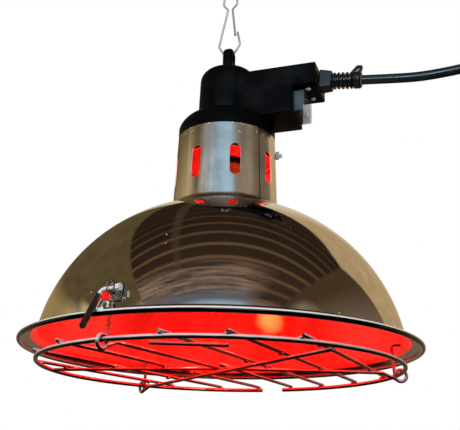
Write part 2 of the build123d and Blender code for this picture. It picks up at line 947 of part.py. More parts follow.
def coil_tie():
    """Strap round the top of the coil with an eye to hang it by."""
    top = cord_points()[-1] + Vector(cord_diameter, 0, 0)
    layers = coil_half_turns - 3
    inner_low = top.Z - layers * coil_pitch - cord_radius - tie_slack
    inner_high = top.Z + cord_radius + seat_gap
    inner_near = top.Y - cord_radius - seat_gap
    inner_far = top.Y + coil_pitch + cord_radius + seat_gap
    rim = tie_thickness
    half = tie_width / 2
    strap = block(
        (top.X - half, inner_near - rim, inner_low - rim),
        (top.X + half, inner_far + rim, inner_high + rim),
    )
    strap = fillet(strap.edges().filter_by(Axis.X), tie_thickness)
    strap -= block(
        (top.X - tie_width, inner_near, inner_low),
        (top.X + tie_width, inner_far, inner_high),
    )
    eye = Pos(top.X, (inner_near + inner_far) / 2, inner_high + tie_eye_radius + tie_thickness)
    return strap + eye * Rot(90, 0, 0) * Torus(tie_eye_radius, tie_eye_wire)


def plug_top():
    """Point where the cord enters the plug."""
    return coil_path() @ 1


def plug_body():
    """Round moulded plug hanging from the coil, widening from its neck to its face."""
    grip = plug_neck_length + plug_body_length * 0.45
    face = plug_neck_length + plug_body_length
    outline = [
        Line((0, 0), (plug_neck_radius, 0)),
        Line((plug_neck_radius, 0), (plug_neck_radius, -plug_neck_length)),
        Line((plug_neck_radius, -plug_neck_length), (plug_grip_radius, -plug_neck_length - sheet)),
        Line((plug_grip_radius, -plug_neck_length - sheet), (plug_grip_radius, -grip)),
        Line((plug_grip_radius, -grip), (plug_radius, -grip - sheet)),
        Line((plug_radius, -grip - sheet), (plug_radius, -face)),
        Line((plug_radius, -face), (0, -face)),
        Line((0, -face), (0, 0)),
    ]
    return Pos(*plug_top()) * turned(outline)


def plug_pins():
    """Two round pins in the plug's face."""
    face = -(plug_neck_length + plug_body_length)
    pins = []
    for side in (-1, 1):
        pin = Cylinder(plug_pin_radius, plug_pin_length)
        tip = pin.faces().sort_by(Axis.Z)[0]
        pin = fillet(tip.edges(), plug_pin_radius / 2)
        place = Pos(0, side * plug_pin_spread / 2, face - plug_pin_length / 2)
        pins.append(Pos(*plug_top()) * place * pin)
    return pins


def hook_point(x, rise):
    """Point of the snap hook's plane, measured from the wire in the eyelet."""
    return (x, 0, hook_wire_z + rise)


def gate_hinge():
    """Point where the gate leaves the hook's eye."""
    return Vector(hook_point(hook_neck_half, hook_neck_rise))


def snap_hook():
    """Bent wire: nose, round foot in the eyelet, long leg, pinched neck and eye."""
    points = [
        hook_point(hook_nose_half, hook_nose_rise),
        hook_point(hook_half_width, hook_foot_rise),
        hook_point(hook_foot_half, 0),
        hook_point(-hook_foot_half, 0),
        hook_point(-hook_half_width, hook_foot_rise),
        hook_point(-hook_neck_half, hook_neck_rise),
        hook_point(-hook_eye_half - hook_wire_radius, hook_eye_low),
        hook_point(-hook_eye_half, hook_eye_high),
        hook_point(hook_eye_half, hook_eye_high),
        hook_point(hook_eye_half + hook_wire_radius, hook_eye_low),
        hook_point(hook_neck_half, hook_neck_rise),
    ]
    bends = [5.0, 5.0, 5.0, 6.0, 3.0, 3.0, 5.5, 5.5, 3.0]
    return bent_wire(points, bends, hook_wire_radius)


def gate_line():
    """Start of the gate beyond its joint gap, its knee and its tip."""
    hinge = gate_hinge()
    tip = Vector(hook_point(hook_nose_half - 2 * hook_wire_radius - seat_gap, gate_tip_rise))
    along = (tip - hinge).normalized()
    return hinge + along * gate_joint_gap, tip, along


def hook_gate():
    """Spring gate of the hook with a flattened tip behind the nose."""
    start, tip, along = gate_line()
    arm = rod(start, tip, hook_wire_radius)
    flat = Plane(origin=tip, x_dir=(0, 1, 0), z_dir=along)
    blade = extrude(flat * Rectangle(gate_tip_width, hook_wire_radius), -gate_tip_length)
    return arm + blade


def guard_ring():
    """Wire ring of the guard, open between its two ends."""
    section = Plane.XZ * Pos(guard_radius, guard_z) * Circle(guard_ring_wire)
    return around(revolve(section, Axis.Z, 360 - ring_gap), ring_gap_start + ring_gap)


def cross_wire_z():
    """Height of the cross wires, which lie on the ring."""
    return guard_z + guard_ring_wire + guard_wire + weld_gap


def spoke_z():
    """Height of the spokes, under the cross wires."""
    return cross_wire_z() - 2 * guard_wire - weld_gap


def through_z():
    """Height of the long spoke, which carries the others."""
    return spoke_z() - 2 * guard_wire - weld_gap


def spoke_reach():
    """Radius at which the spokes meet the ring's inner side."""
    return guard_radius - guard_ring_wire - weld_gap


def through_reach():
    """Radius at which the long spoke's end meets the ring from below."""
    under = guard_z - through_z() - guard_wire
    return guard_radius - sqrt((guard_ring_wire + weld_gap) ** 2 - under**2)


def guard_spokes():
    """Spokes from the hub to the ring, the long one below, and a short tie wire."""
    z = spoke_z()
    leg = hanger_leg_start - weld_gap
    through = rod((-through_reach(), 0, through_z()), (leg, 0, through_z()), guard_wire)
    hanging = rod((hub_gap, 0, z), (leg, 0, z), guard_wire)
    plain = rod((hub_gap, 0, z), (spoke_reach(), 0, z), guard_wire)
    tie_ends = [Vector(guard_radius - inset, 0, z).rotate(Axis.Z, angle) for angle, inset in tie_wire_ends]
    tie = rod(*tie_ends, guard_wire)
    return [
        around(through, through_spoke_angle),
        around(hanging, right_spoke_angle),
        around(plain, left_spoke_angle),
        around(hanging, latch_angle),
        tie,
    ]


def guard_cross_wires():
    """Wires welded on top of the ring, and one from the hub to the ring's far side."""
    reach = guard_radius + cross_overhang
    z = cross_wire_z()
    wires = [around(rod((-hub_gap, 0, z), (reach, 0, z), guard_wire), hub_wire_angle)]
    for angles in cross_wire_ends:
        near, far = [Vector(reach, 0, z).rotate(Axis.Z, angle) for angle in angles]
        wires.append(rod(near, far, guard_wire))
    return wires


def hanger_eye_z():
    """Height of the middle of the hangers' eyes, which hang on the ring."""
    return guard_z - (hanger_eye_radius - guard_wire - guard_ring_wire - weld_gap)


def hanger_foot(z):
    """Eye round the ring, and the leg under it that carries on a spoke at a height."""
    eye_z = hanger_eye_z()
    eye = Pos(guard_radius, 0, eye_z) * Rot(90, 0, 0) * Torus(hanger_eye_radius, guard_wire)
    points = [
        (hanger_leg_start, 0, z),
        (hanger_leg_start + hanger_leg_bend, 0, z),
        (guard_radius, 0, eye_z - hanger_eye_radius),
    ]
    return eye + bent_wire(points, [hanger_leg_bend], guard_wire)


def guard_hangers():
    """Hangers: eye round the ring, upright inside the rim, end out through the wall's hole."""
    inside = guard_radius - hanger_eye_radius
    outside = dome_radius_at(hanger_hole_rise) + hanger_end
    points = [
        (inside, 0, hanger_eye_z()),
        (inside - hanger_lean, 0, hanger_hole_rise),
        (outside, 0, hanger_hole_rise),
    ]
    upright = bent_wire(points, [hanger_bend], guard_wire)
    heights = {right_spoke_angle: spoke_z(), through_spoke_angle: through_z()}
    return [around(upright + hanger_foot(heights[angle]), angle) for angle in hanger_angles]


def latch_frame():
    """Frame on the reflector's wall at the latch: X along the rim, Y up the wall, Z out."""
    centre_x, centre_z = dome_centre()
    wall = dome_radius_at(latch_rise)
    out = Vector(wall - centre_x, 0, latch_rise - centre_z)
    return Plane(origin=(wall, 0, latch_rise), x_dir=(0, 1, 0), z_dir=out).location


def rivet_places():
    """Places of the bracket's rivets in the latch's frame, between its ears."""
    middle = ear_place + ear_spread / 2
    return [(middle, latch_rivet_low, 0), (middle, latch_rivet_high, 0)]


def ear_places():
    """Distances of the bracket's two ears from the middle of the cut-out."""
    return ear_place, ear_place + ear_spread


def latch_bracket():
    """Bracket round the cut-out: two ears for the lever's axle and a loop on top."""
    half = latch_slot_width / 2
    low = -latch_slot_below - bracket_margin
    high = latch_slot_above + bracket_margin
    right = ear_places()[1] + 2 * bracket_sheet
    plate = block((-half - bracket_margin, low, 0), (right, high, bracket_sheet))
    plate -= block((-half, -latch_slot_below, -sheet), (half, latch_slot_above, ear_reach))
    for place in ear_places():
        plate += block(
            (place - bracket_sheet / 2, -ear_reach / 2, 0),
            (place + bracket_sheet / 2, ear_reach / 2, ear_reach),
        )
    loop = Pos(bracket_loop_place, high + bracket_loop_wire, bracket_loop_wire)
    plate += loop * Torus(bracket_loop_radius, bracket_loop_wire)
    axle_hole = Pos(0, 0, latch_stand_off) * Rot(0, 90, 0)
    plate -= axle_hole * Cylinder(axle_radius + running_gap, 4 * right)
    for place in rivet_places():
        plate -= Pos(*place) * Cylinder(latch_rivet_radius + slip_gap, ear_reach)
    return around(latch_frame() * plate, latch_angle)


def latch_rivets():
    """Rivets that hold the bracket to the reflector."""
    rivets = []
    for place in rivet_places():
        shank = Cylinder(latch_rivet_radius, 2 * sheet + bracket_sheet)
        shank = Pos(0, 0, (bracket_sheet - sheet) / 2) * shank
        head = Pos(0, 0, bracket_sheet + sheet / 2) * Cylinder(latch_rivet_head, sheet)
        rivets.append(around(latch_frame() * Pos(*place) * (shank + head), latch_angle))
    return rivets


def nut_face():
    """Distance from the middle of the cut-out to the near face of the axle's nut."""
    return ear_places()[1] + bracket_sheet / 2 + seat_gap


def axle_point():
    """Point of the lever's axle over the cut-out's middle, before the latch is turned."""
    return Vector(*(latch_frame() * Pos(0, 0, latch_stand_off)).position)


def handle_direction():
    """Direction of the handle: down, out over the rim and a little along it."""
    lean = radians(handle_lean)
    side = radians(handle_side_lean)
    return Vector(sin(lean) * cos(side), sin(side), -cos(lean) * cos(side))


def handle_corner():
    """Corner where the axle turns into the handle."""
    return axle_point() + Vector(0, handle_place, 0)


def latch_lever():
    """Wire lever: handle, axle through the ears and a finger through the cut-out."""
    corner = handle_corner()
    tip = corner + handle_direction() * handle_length
    far = axle_point() + Vector(0, nut_face() + latch_nut_height, 0)
    wire = bent_wire([tip, corner, far], [handle_bend], axle_radius)
    finger = Pos(*axle_point()) * block(
        (-finger_reach, finger_place - finger_width / 2, -finger_thickness / 2),
        (axle_radius, finger_place + finger_width / 2, finger_thickness / 2),
    )
    return around(wire + finger, latch_angle)


def latch_grip():
    """Black sleeve on the handle, closed at its end."""
    along = handle_direction()
    end = handle_corner() + along * (handle_length + slip_gap)
    start = end - along * grip_length
    sleeve = rod(start, end + along * sheet, grip_radius) - rod(start, end, axle_radius + slip_gap)
    return around(sleeve, latch_angle)


def latch_nut():
    """Nut on the axle's free end."""
    face = Plane(origin=axle_point() + Vector(0, nut_face(), 0), z_dir=(0, 1, 0))
    nut = extrude(face * RegularPolygon(latch_nut_radius, 6), latch_nut_height)
    nut -= rod(axle_point(), axle_point() + Vector(0, 2 * nut_face(), 0), axle_radius + slip_gap)
    return around(nut, latch_angle)


def latch_link():
    """Third hanger: eye round the ring, upright, and a hook over the lever's finger."""
    over = axle_point().Z + finger_thickness / 2 + guard_wire + seat_gap
    inside = dome_radius_at(over + guard_wire) - sheet - guard_wire - link_wall_gap
    points = [
        (guard_radius - hanger_eye_radius, 0, hanger_eye_z()),
        (inside, 0, over),
        (inside, link_hook, over),
    ]
    upright = bent_wire(points, [hanger_bend], guard_wire)
    return around(upright + hanger_foot(spoke_z()), latch_angle)


def write(name, shape):
    """Lowers a piece so that the origin is at the hook's eye, and writes it."""
    solids = shape if isinstance(shape, list) else [shape]
    lowered = [Pos(0, 0, -hang_z) * solid for solid in solids]
    whole = lowered[0] if len(lowered) == 1 else Compound(children=lowered)
    export_step(whole, f"parts/{name}.step")


pieces = {
    "snap_hook": snap_hook,
    "hook_gate": hook_gate,
    "head_housing": head_housing,
    "box_cover": box_cover,
    "neck_collar": neck_collar,
    "neck": neck,
    "neck_screws": neck_screws,
    "neck_nuts": neck_nuts,
    "reflector": reflector,
    "lampholder_plate": lampholder_plate,
    "holder_screws": holder_screws,
    "lampholder": lampholder,
    "screw_shell": screw_shell,
    "centre_contact": centre_contact,
    "bulb_glass": bulb_glass,
    "bulb_base": bulb_base,
    "bulb_contact": bulb_contact,
    "switch_housing": switch_housing,
    "switch_terminals": switch_terminals,
    "switch_boot": switch_boot,
    "rocker": rocker,
    "cord_clamp": cord_clamp,
    "clamp_screws": clamp_screws,
    "cord_tail": cord_tail,
    "strain_relief": strain_relief,
    "cord": cord,
    "cord_coil": cord_coil,
    "coil_tie": coil_tie,
    "plug_body": plug_body,
    "plug_pins": plug_pins,
    "guard_ring": guard_ring,
    "guard_spokes": guard_spokes,
    "guard_cross_wires": guard_cross_wires,
    "guard_hangers": guard_hangers,
    "latch_bracket": latch_bracket,
    "latch_rivets": latch_rivets,
    "latch_lever": latch_lever,
    "latch_grip": latch_grip,
    "latch_nut": latch_nut,
    "latch_link": latch_link,
}

os.makedirs("parts", exist_ok=True)
for piece_name, make_piece in pieces.items():
    write(piece_name, make_piece())
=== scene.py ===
# %% [markdown]
# # A hanging infrared heat lamp
# The lamp warms chicks and lambs: a polished bowl under a slotted neck, a black head with a
# switch box, a wire guard below and a red bulb inside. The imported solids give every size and
# place, in metres, with the origin at the hook's eye. This lesson dresses them for a picture.

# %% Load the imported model
import json
from math import asin, atan2, cos, degrees, pi, radians, sin, sqrt

import bpy
from mathutils import Matrix, Vector


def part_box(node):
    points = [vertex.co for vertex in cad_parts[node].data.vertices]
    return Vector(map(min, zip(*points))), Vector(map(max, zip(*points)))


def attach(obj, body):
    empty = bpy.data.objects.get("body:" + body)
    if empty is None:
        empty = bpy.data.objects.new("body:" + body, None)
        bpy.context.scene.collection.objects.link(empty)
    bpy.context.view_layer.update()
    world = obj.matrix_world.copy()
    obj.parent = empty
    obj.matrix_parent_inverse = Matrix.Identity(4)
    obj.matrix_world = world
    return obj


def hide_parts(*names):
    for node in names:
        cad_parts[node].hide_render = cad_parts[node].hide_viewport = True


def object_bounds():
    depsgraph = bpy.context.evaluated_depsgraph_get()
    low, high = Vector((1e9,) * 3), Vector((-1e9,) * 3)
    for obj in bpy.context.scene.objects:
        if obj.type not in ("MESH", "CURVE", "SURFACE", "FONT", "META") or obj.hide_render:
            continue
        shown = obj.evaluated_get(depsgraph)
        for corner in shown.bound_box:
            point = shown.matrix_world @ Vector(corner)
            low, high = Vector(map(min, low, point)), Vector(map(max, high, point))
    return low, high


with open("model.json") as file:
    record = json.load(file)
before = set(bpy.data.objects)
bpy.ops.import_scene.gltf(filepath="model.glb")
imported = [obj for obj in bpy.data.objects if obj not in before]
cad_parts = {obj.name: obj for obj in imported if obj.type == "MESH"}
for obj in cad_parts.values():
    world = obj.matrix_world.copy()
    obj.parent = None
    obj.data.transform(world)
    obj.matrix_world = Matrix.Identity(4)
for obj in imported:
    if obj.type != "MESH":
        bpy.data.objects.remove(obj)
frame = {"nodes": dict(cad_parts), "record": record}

cad_low, cad_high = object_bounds()
cad_size = [round(high - low, 3) for low, high in zip(cad_low, cad_high)]
print("solids", len(frame["nodes"]), "box", cad_size)

# %% [markdown]
# ## The camera
# The view is fitted to the photograph: the camera stands a little below the rim and looks up
# into the bowl, slightly tilted, so the guard and the red inside show under the near edge.
# Its place is measured from the middle of the rolled rim, and the switch box turns towards it.

# %% Camera
mm = 0.001
bead_radius = 2.3 * mm
rim_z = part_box("reflector")[0].z + bead_radius
picture_width = 460
lens_in_pixels = 780
sensor_width = 36
camera_distance = 688.4 * mm
camera_below_rim = 112.1 * mm
camera_turn = Matrix.Rotation(radians(19.5), 3, "Z")
camera_pitch = radians(19.17)
camera_yaw = radians(0.40)
camera_roll = radians(1.43)

camera_place = camera_turn @ Vector((0, -camera_distance, 0))
camera_place.z = rim_z - camera_below_rim
camera_turned = camera_turn @ Matrix.Rotation(-camera_yaw, 3, "Z")
camera_turned = camera_turned @ Matrix.Rotation(pi / 2 + camera_pitch, 3, "X")
camera_turned = camera_turned @ Matrix.Rotation(camera_roll, 3, "Z")
bpy.ops.object.select_all(action="DESELECT")
bpy.ops.object.camera_add(location=camera_place, rotation=camera_turned.to_euler())
camera = bpy.context.object
camera.data.sensor_width = sensor_width
camera.data.lens = sensor_width * lens_in_pixels / picture_width
camera.data.clip_start = 10 * mm
bpy.context.scene.camera = camera
print("camera at", [round(value, 3) for value in camera_place], "lens", round(camera.data.lens, 1))

# %% [markdown]
# ## Tools for modelling
# Most pieces of this lamp are round: spun sheet, turned mouldings, drawn wire. A line of
# points is the start of nearly all of them. It is spun about an axis, filled and pulled into
# a block, or thickened into a wire. One more helper takes a clean copy of a solid, so its edges
# can be softened and its curved faces shaded smoothly.

# %% Modelling helpers
merge_gap = 0.002 * mm


def start_clean():
    """Leaves edit mode and drops the selection, because operators act on all that is selected."""
    if bpy.context.object and bpy.context.object.mode != "OBJECT":
        bpy.ops.object.mode_set(mode="OBJECT")
    bpy.ops.object.select_all(action="DESELECT")


def pick(piece):
    """Makes one piece the active and only selected one."""
    start_clean()
    piece.select_set(True)
    bpy.context.view_layer.objects.active = piece


def smooth(piece, angle=35):
    """Shades a piece smoothly, except across edges sharper than the angle."""
    pick(piece)
    bpy.ops.object.shade_smooth_by_angle(angle=radians(angle))


def apply_modifier(piece, kind, **settings):
    """Adds a modifier, gives it its settings and applies it."""
    pick(piece)
    modifier = piece.modifiers.new(kind.lower(), kind)
    for name, value in settings.items():
        setattr(modifier, name, value)
    bpy.ops.object.modifier_apply(modifier=modifier.name)


def soften(piece, width, segments=3, angle=40):
    """Rounds the sharp edges of a piece and keeps its flat faces flat in the shading."""
    apply_modifier(piece, "BEVEL", width=width, segments=segments,
                   limit_method="ANGLE", angle_limit=radians(angle))
    smooth(piece, 45)
    apply_modifier(piece, "WEIGHTED_NORMAL", keep_sharp=True, weight=100)


def put(piece, place):
    """Moves a piece by a matrix and keeps the move in its mesh."""
    pick(piece)
    piece.matrix_world = place
    bpy.ops.object.transform_apply(location=True, rotation=True, scale=True)
    return piece


def line_of(name, points):
    """A line of vertices through points, left in edit mode with all of it selected."""
    start_clean()
    bpy.ops.mesh.primitive_plane_add(size=mm)
    piece = bpy.context.object
    piece.name = name
    bpy.ops.object.mode_set(mode="EDIT")
    bpy.ops.mesh.select_all(action="SELECT")
    bpy.ops.mesh.merge(type="CENTER")
    bpy.ops.transform.translate(value=points[0])
    for here, after in zip(points, points[1:]):
        move = {"value": Vector(after) - Vector(here)}
        bpy.ops.mesh.extrude_region_move(TRANSFORM_OT_translate=move)
    bpy.ops.mesh.select_all(action="SELECT")
    return piece


def close_shape():
    """Turns all faces of the shape in edit mode outwards and leaves edit mode."""
    bpy.ops.mesh.select_all(action="SELECT")
    bpy.ops.mesh.normals_make_consistent(inside=False)
    bpy.ops.object.mode_set(mode="OBJECT")


def spun(name, outline, steps):
    """An outline of (radius, height) points, spun about the upright axis into a closed piece."""
    piece = line_of(name, [(radius, 0, height) for radius, height in outline])
    bpy.ops.mesh.remove_doubles(threshold=merge_gap / 2)
    bpy.ops.mesh.spin(steps=steps, angle=2 * pi, center=(0, 0, 0), axis=(0, 0, 1))
    bpy.ops.mesh.select_all(action="SELECT")
    bpy.ops.mesh.remove_doubles(threshold=merge_gap)
    close_shape()
    smooth(piece)
    return piece


def block_of(name, outline, depth):
    """A closed outline of points, filled and pulled along a direction."""
    piece = line_of(name, outline)
    bpy.ops.mesh.edge_face_add()
    bpy.ops.mesh.extrude_region_move(TRANSFORM_OT_translate={"value": depth})
    close_shape()
    return piece


def slab(name, outline, half):
    """A block of an outline of (along, height) points, as far to each side as half says."""
    points = [(along, -half * mm, height) for along, height in outline]
    return block_of(name, points, (0, 2 * half * mm, 0))


def wire(name, corners, radius, bend):
    """A round wire through corner points: a line of vertices, its corners rounded, thickened."""
    piece = line_of(name, corners)
    bpy.ops.object.mode_set(mode="OBJECT")
    for vertex in piece.data.vertices:
        vertex.select = 0 < vertex.index < len(corners) - 1
    bpy.ops.object.mode_set(mode="EDIT")
    bpy.ops.mesh.bevel(affect="VERTICES", offset=bend, segments=8)
    bpy.ops.object.mode_set(mode="OBJECT")
    bpy.ops.object.convert(target="CURVE")
    piece.data.bevel_depth = radius
    piece.data.bevel_resolution = 4
    piece.data.use_fill_caps = True
    bpy.ops.object.convert(target="MESH")
    smooth(piece, 50)
    return piece


def arc(centre, radius, start, end, count):
    """Points of (radius, height) on an arc, from one angle to another, in degrees."""
    angles = [radians(start + (end - start) * step / count) for step in range(count + 1)]
    return [(centre[0] + radius * cos(angle), centre[1] + radius * sin(angle)) for angle in angles]


def arc_between(start, end, radius, count):
    """Points on an arc between two points; a negative radius bulges the other way."""
    middle = (Vector(start) + Vector(end)) / 2
    chord = Vector(end) - Vector(start)
    away = sqrt(radius**2 - (chord.length / 2) ** 2)
    side = Vector((chord.y, -chord.x)).normalized() * (1 if radius > 0 else -1)
    centre = middle + side * away
    first = degrees(atan2(start[1] - centre.y, start[0] - centre.x))
    sweep = degrees(2 * asin(chord.length / 2 / abs(radius))) * (-1 if radius > 0 else 1)
    return arc(centre, abs(radius), first, first + sweep, count)


def duplicate(piece, name):
    """A copy of a piece with its own mesh."""
    made = piece.copy()
    made.data = piece.data.copy()
    made.name = name
    bpy.context.scene.collection.objects.link(made)
    return made


def clean_copy(node, edge):
    """A copy of a solid with its points merged and, where asked, its sharp edges softened."""
    start_clean()
    piece = duplicate(frame["nodes"][node], node + "_piece")
    piece.parent = None
    for key in list(piece.keys()):
        del piece[key]
    pick(piece)
    bpy.ops.object.mode_set(mode="EDIT")
    bpy.ops.mesh.select_all(action="SELECT")
    bpy.ops.mesh.remove_doubles(threshold=merge_gap)
    if edge:
        bpy.ops.mesh.dissolve_limited(angle_limit=radians(0.5))
    bpy.ops.object.mode_set(mode="OBJECT")
    smooth(piece)
    if edge:
        soften(piece, edge, 2, 50)
    return piece


def joined(name, pieces):
    """Several pieces made one object."""
    start_clean()
    for piece in pieces:
        piece.select_set(True)
    bpy.context.view_layer.objects.active = pieces[0]
    bpy.ops.object.join()
    pieces[0].name = name
    return pieces[0]


def cut(piece, cutter):
    """Cuts one piece out of another and removes the cutter."""
    apply_modifier(piece, "BOOLEAN", object=cutter, operation="DIFFERENCE", solver="EXACT")
    bpy.data.objects.remove(cutter)


def at(x, y, height):
    """A point in millimetres from the lamp's axis and above the rim, in the lamp's frame."""
    return Vector((x * mm, y * mm, rim_z + height * mm))


def around(angle, radius, height):
    """A place at an angle round the lamp's axis, with X pointing outwards."""
    return Matrix.Rotation(angle, 4, "Z") @ Matrix.Translation(at(radius, 0, height))


def scaled(outline):
    """An outline in millimetres, in metres."""
    return [(radius * mm, along * mm) for radius, along in outline]


def lifted(outline):
    """An outline in millimetres above the rim, as (radius, height) in the lamp's frame."""
    return [(radius * mm, rim_z + height * mm) for radius, height in outline]


bodies = frame["record"]["behaviour"]["bodies"]
body_of = {node: body for body, nodes in bodies.items() for node in nodes}


def finish_piece(piece, material, slot, body, *nodes):
    """Gives a piece its finish, lets it ride on a body and stand for its solids."""
    piece.data.materials.clear()
    piece.data.materials.append(material)
    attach(piece, body)
    if nodes:
        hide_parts(*nodes)


def dress(material, slot, edge, *nodes):
    """Clean copies of solids, their edges softened, in one finish."""
    for node in nodes:
        finish_piece(clean_copy(node, edge * mm), material, slot, body_of[node], node)
    print(slot, "on", ", ".join(nodes))


# %% [markdown]
# ## Shader maths in Python
# A finish is a tree of nodes. Writing sums as Python expressions keeps the trees readable:
# `1 - mask` adds a Math node by itself. Every other node comes from one method.

# %% Shader helpers
class Flow:
    """An output of a shader node, with Python's arithmetic."""

    def __init__(self, finish, socket):
        self.finish = finish
        self.socket = socket

    def __add__(self, other):
        return self.finish.maths("ADD", self, other)

    def __radd__(self, other):
        return self.finish.maths("ADD", other, self)

    def __sub__(self, other):
        return self.finish.maths("SUBTRACT", self, other)

    def __rsub__(self, other):
        return self.finish.maths("SUBTRACT", other, self)

    def __mul__(self, other):
        return self.finish.maths("MULTIPLY", self, other)

    def __truediv__(self, other):
        return self.finish.maths("DIVIDE", self, other)

    def __abs__(self):
        return self.finish.maths("ABSOLUTE", self)

    def at_least(self, bound):
        """The value, or the bound where that is larger."""
        return self.finish.maths("MAXIMUM", self, bound)

    def part(self, axis):
        """One part of a vector."""
        return self.finish.node("SeparateXYZ", None, {0: self}, axis)

    def along(self, direction):
        """How far a vector goes along a direction."""
        sockets = {0: self, 1: direction}
        return self.finish.node("VectorMath", {"operation": "DOT_PRODUCT"}, sockets, 1)

    def stretched(self, scale):
        """A point with each axis scaled, to draw a pattern out along one of them."""
        return self.finish.node("Mapping", None, {"Vector": self, "Scale": scale})

    def noise(self, scale, detail=3.0, roughness=0.5):
        """Soft noise from 0 to 1 at a point."""
        sockets = {"Vector": self, "Scale": scale, "Detail": detail, "Roughness": roughness}
        return self.finish.node("TexNoise", None, sockets)

    def ramp(self, low, high, start=0.0, end=1.0):
        """Maps a value from one range to another, held at the ends."""
        sockets = {"From Min": low, "From Max": high, "To Min": start, "To Max": end}
        return self.finish.node("MapRange", {"clamp": True}, {"Value": self, **sockets})

    def mix(self, first, second):
        """Mixes two colours, with the value as the share of the second."""
        return self.finish.node("Mix", {"data_type": "RGBA"}, {0: self, 6: first, 7: second}, 2)

    def bump(self, strength, distance):
        """A surface direction from a height."""
        sockets = {"Height": self, "Strength": strength, "Distance": distance}
        return self.finish.node("Bump", None, sockets)


class Finish:
    """A material, or the world, as a tree of nodes."""

    def __init__(self, name, world=None):
        self.owner = world or bpy.data.materials.new(name)
        self.owner.use_nodes = True
        self.tree = self.owner.node_tree
        self.tree.nodes.clear()

    def node(self, kind, settings=None, sockets=None, output=0):
        """Adds a node, sets it up, feeds its sockets and returns one of its outputs."""
        made = self.tree.nodes.new("ShaderNode" + kind)
        for name, value in (settings or {}).items():
            setattr(made, name, value)
        for name, value in (sockets or {}).items():
            socket = made.inputs[name]
            if isinstance(value, Flow):
                self.tree.links.new(value.socket, socket)
            else:
                socket.default_value = (*value, 1) if socket.type == "RGBA" else value
        return Flow(self, made.outputs[output]) if len(made.outputs) else made

    def maths(self, operation, first, second=0.0):
        """One Math node."""
        return self.node("Math", {"operation": operation}, {0: first, 1: second})

    def place(self):
        """The point on the piece, in the lamp's frame."""
        return self.node("TexCoord", output="Object")

    def look(self):
        """The way the face looks, in the lamp's frame, which holds when the lamp swings."""
        return self.node("TexCoord", output="Normal")

    def radial(self):
        """The way from the lamp's axis out to the point."""
        return self.place().stretched((1, 1, 0))

    def from_axis(self):
        """The distance from the lamp's axis."""
        return self.node("VectorMath", {"operation": "LENGTH"}, {0: self.radial()}, 1)

    def outward(self):
        """How much the face looks away from the axis, times its distance from it."""
        return self.look().along(self.radial())

    def rise(self, low, high):
        """A mask from 0 to 1 between two heights above the rim, in millimetres."""
        return self.place().part(2).ramp(rim_z + low * mm, rim_z + high * mm)

    def cells(self, scale):
        """The distance from the nearest of many scattered points."""
        return self.node("TexVoronoi", None, {"Vector": self.place(), "Scale": scale})

    def surface(self, sockets):
        """Ends a material with one Principled shader and returns the material.

        The lights do the lighting, so no surface that glows is searched for as a light.
        """
        self.owner.cycles.emission_sampling = "NONE"
        shader = self.node("BsdfPrincipled", None, sockets)
        self.node("OutputMaterial", None, {"Surface": shader})
        return self.owner


def layered(base, *layers):
    """A colour with others laid over it in turn, each where its mask is 1."""
    for mask, layer in layers:
        base = mask.mix(base, layer)
    return base


def mottled(name, scale, tones, rough, span=(0.3, 0.7), metallic=0.0, dents=0.0, clear=None):
    """A finish whose colour and gloss wander between two states, with one noise for all."""
    finish = Finish(name)
    mottle = finish.place().noise(scale, 4.0)
    sockets = {
        "Base Color": mottle.mix(*tones),
        "Roughness": mottle.ramp(*span, *rough),
        "Metallic": metallic,
    }
    if dents:
        sockets["Normal"] = mottle.bump(dents, 0.0002)
    if clear:
        sockets["Alpha"] = mottle.ramp(*span, *clear)
        sockets["Coat Weight"] = 0.6
    return finish.surface(sockets)


# %% [markdown]
# ## The cord
# A mains lead of a little over two metres leaves the strain relief, sags slightly and goes out
# of the picture. The rest is wound into a neat coil that hangs in its tie, with the plug below
# it. One NURBS line carries all of it, so the lead stays one unbroken piece.

# %% Cord
cord_radius = 4.5 * mm
cord_exit = at(132.083, 0, 248.850)
cord_route = [
    (0.0, 0.0, 0.0),
    (25.8, 0.0, -2.7117),
    (51.8, -0.4, -5.2),
    (80.8, -1.3, -4.3),
    (109.8, -2.9, -1.7),
    (134.8, -4.1, -0.5),
    (152.8, -4.1, -0.5),
]
coil_outer_radius = 59.0
coil_pitch = 9.6
coil_half_turns = 7
coil_exit_radius = 74.0
coil_exit_drop = 12.0
coil_lead_in = 9.0
points_per_half_turn = 10


def cord_points():
    """The route's points, then the coil's half turns, which spiral in, climb and spiral out."""
    points = [Vector(point) for point in cord_route]
    top = points[-1] + Vector((coil_lead_in, 0, 0))
    points.append(top.copy())
    for number in range(2 * coil_half_turns):
        steps_in = min(number, 2 * coil_half_turns - number)
        radius = coil_outer_radius - steps_in * coil_pitch / 2
        side = 1 if number % 2 == 0 else -1
        climb = coil_pitch if number == coil_half_turns else 0
        for step in range(1, points_per_half_turn + 1):
            angle = pi * step / points_per_half_turn
            across = side * radius * sin(angle)
            fall = -side * radius * (1 - cos(angle))
            points.append(top + Vector((across, climb * (1 - cos(angle)) / 2, fall)))
        top = points[-1].copy()
    for step in range(1, points_per_half_turn // 2 + 1):
        angle = pi * step / points_per_half_turn
        points.append(top + coil_exit_radius * Vector((sin(angle), 0, cos(angle) - 1)))
    points.append(points[-1] - Vector((0, 0, coil_exit_drop)))
    return [cord_exit + point * mm for point in points]


def make_cord():
    """The lead as one smooth round curve, and its length."""
    line = bpy.data.curves.new("mains_lead", "CURVE")
    line.dimensions = "3D"
    spline = line.splines.new("NURBS")
    points = cord_points()
    spline.points.add(len(points) - 1)
    for point, place in zip(spline.points, points):
        point.co = (*place, 1)
    spline.order_u = 3
    spline.use_endpoint_u = True
    spline.resolution_u = 6
    line.bevel_depth = cord_radius
    line.bevel_resolution = 5
    line.use_fill_caps = True
    lead = bpy.data.objects.new("mains_lead", line)
    bpy.context.scene.collection.objects.link(lead)
    return lead, spline.calc_length()


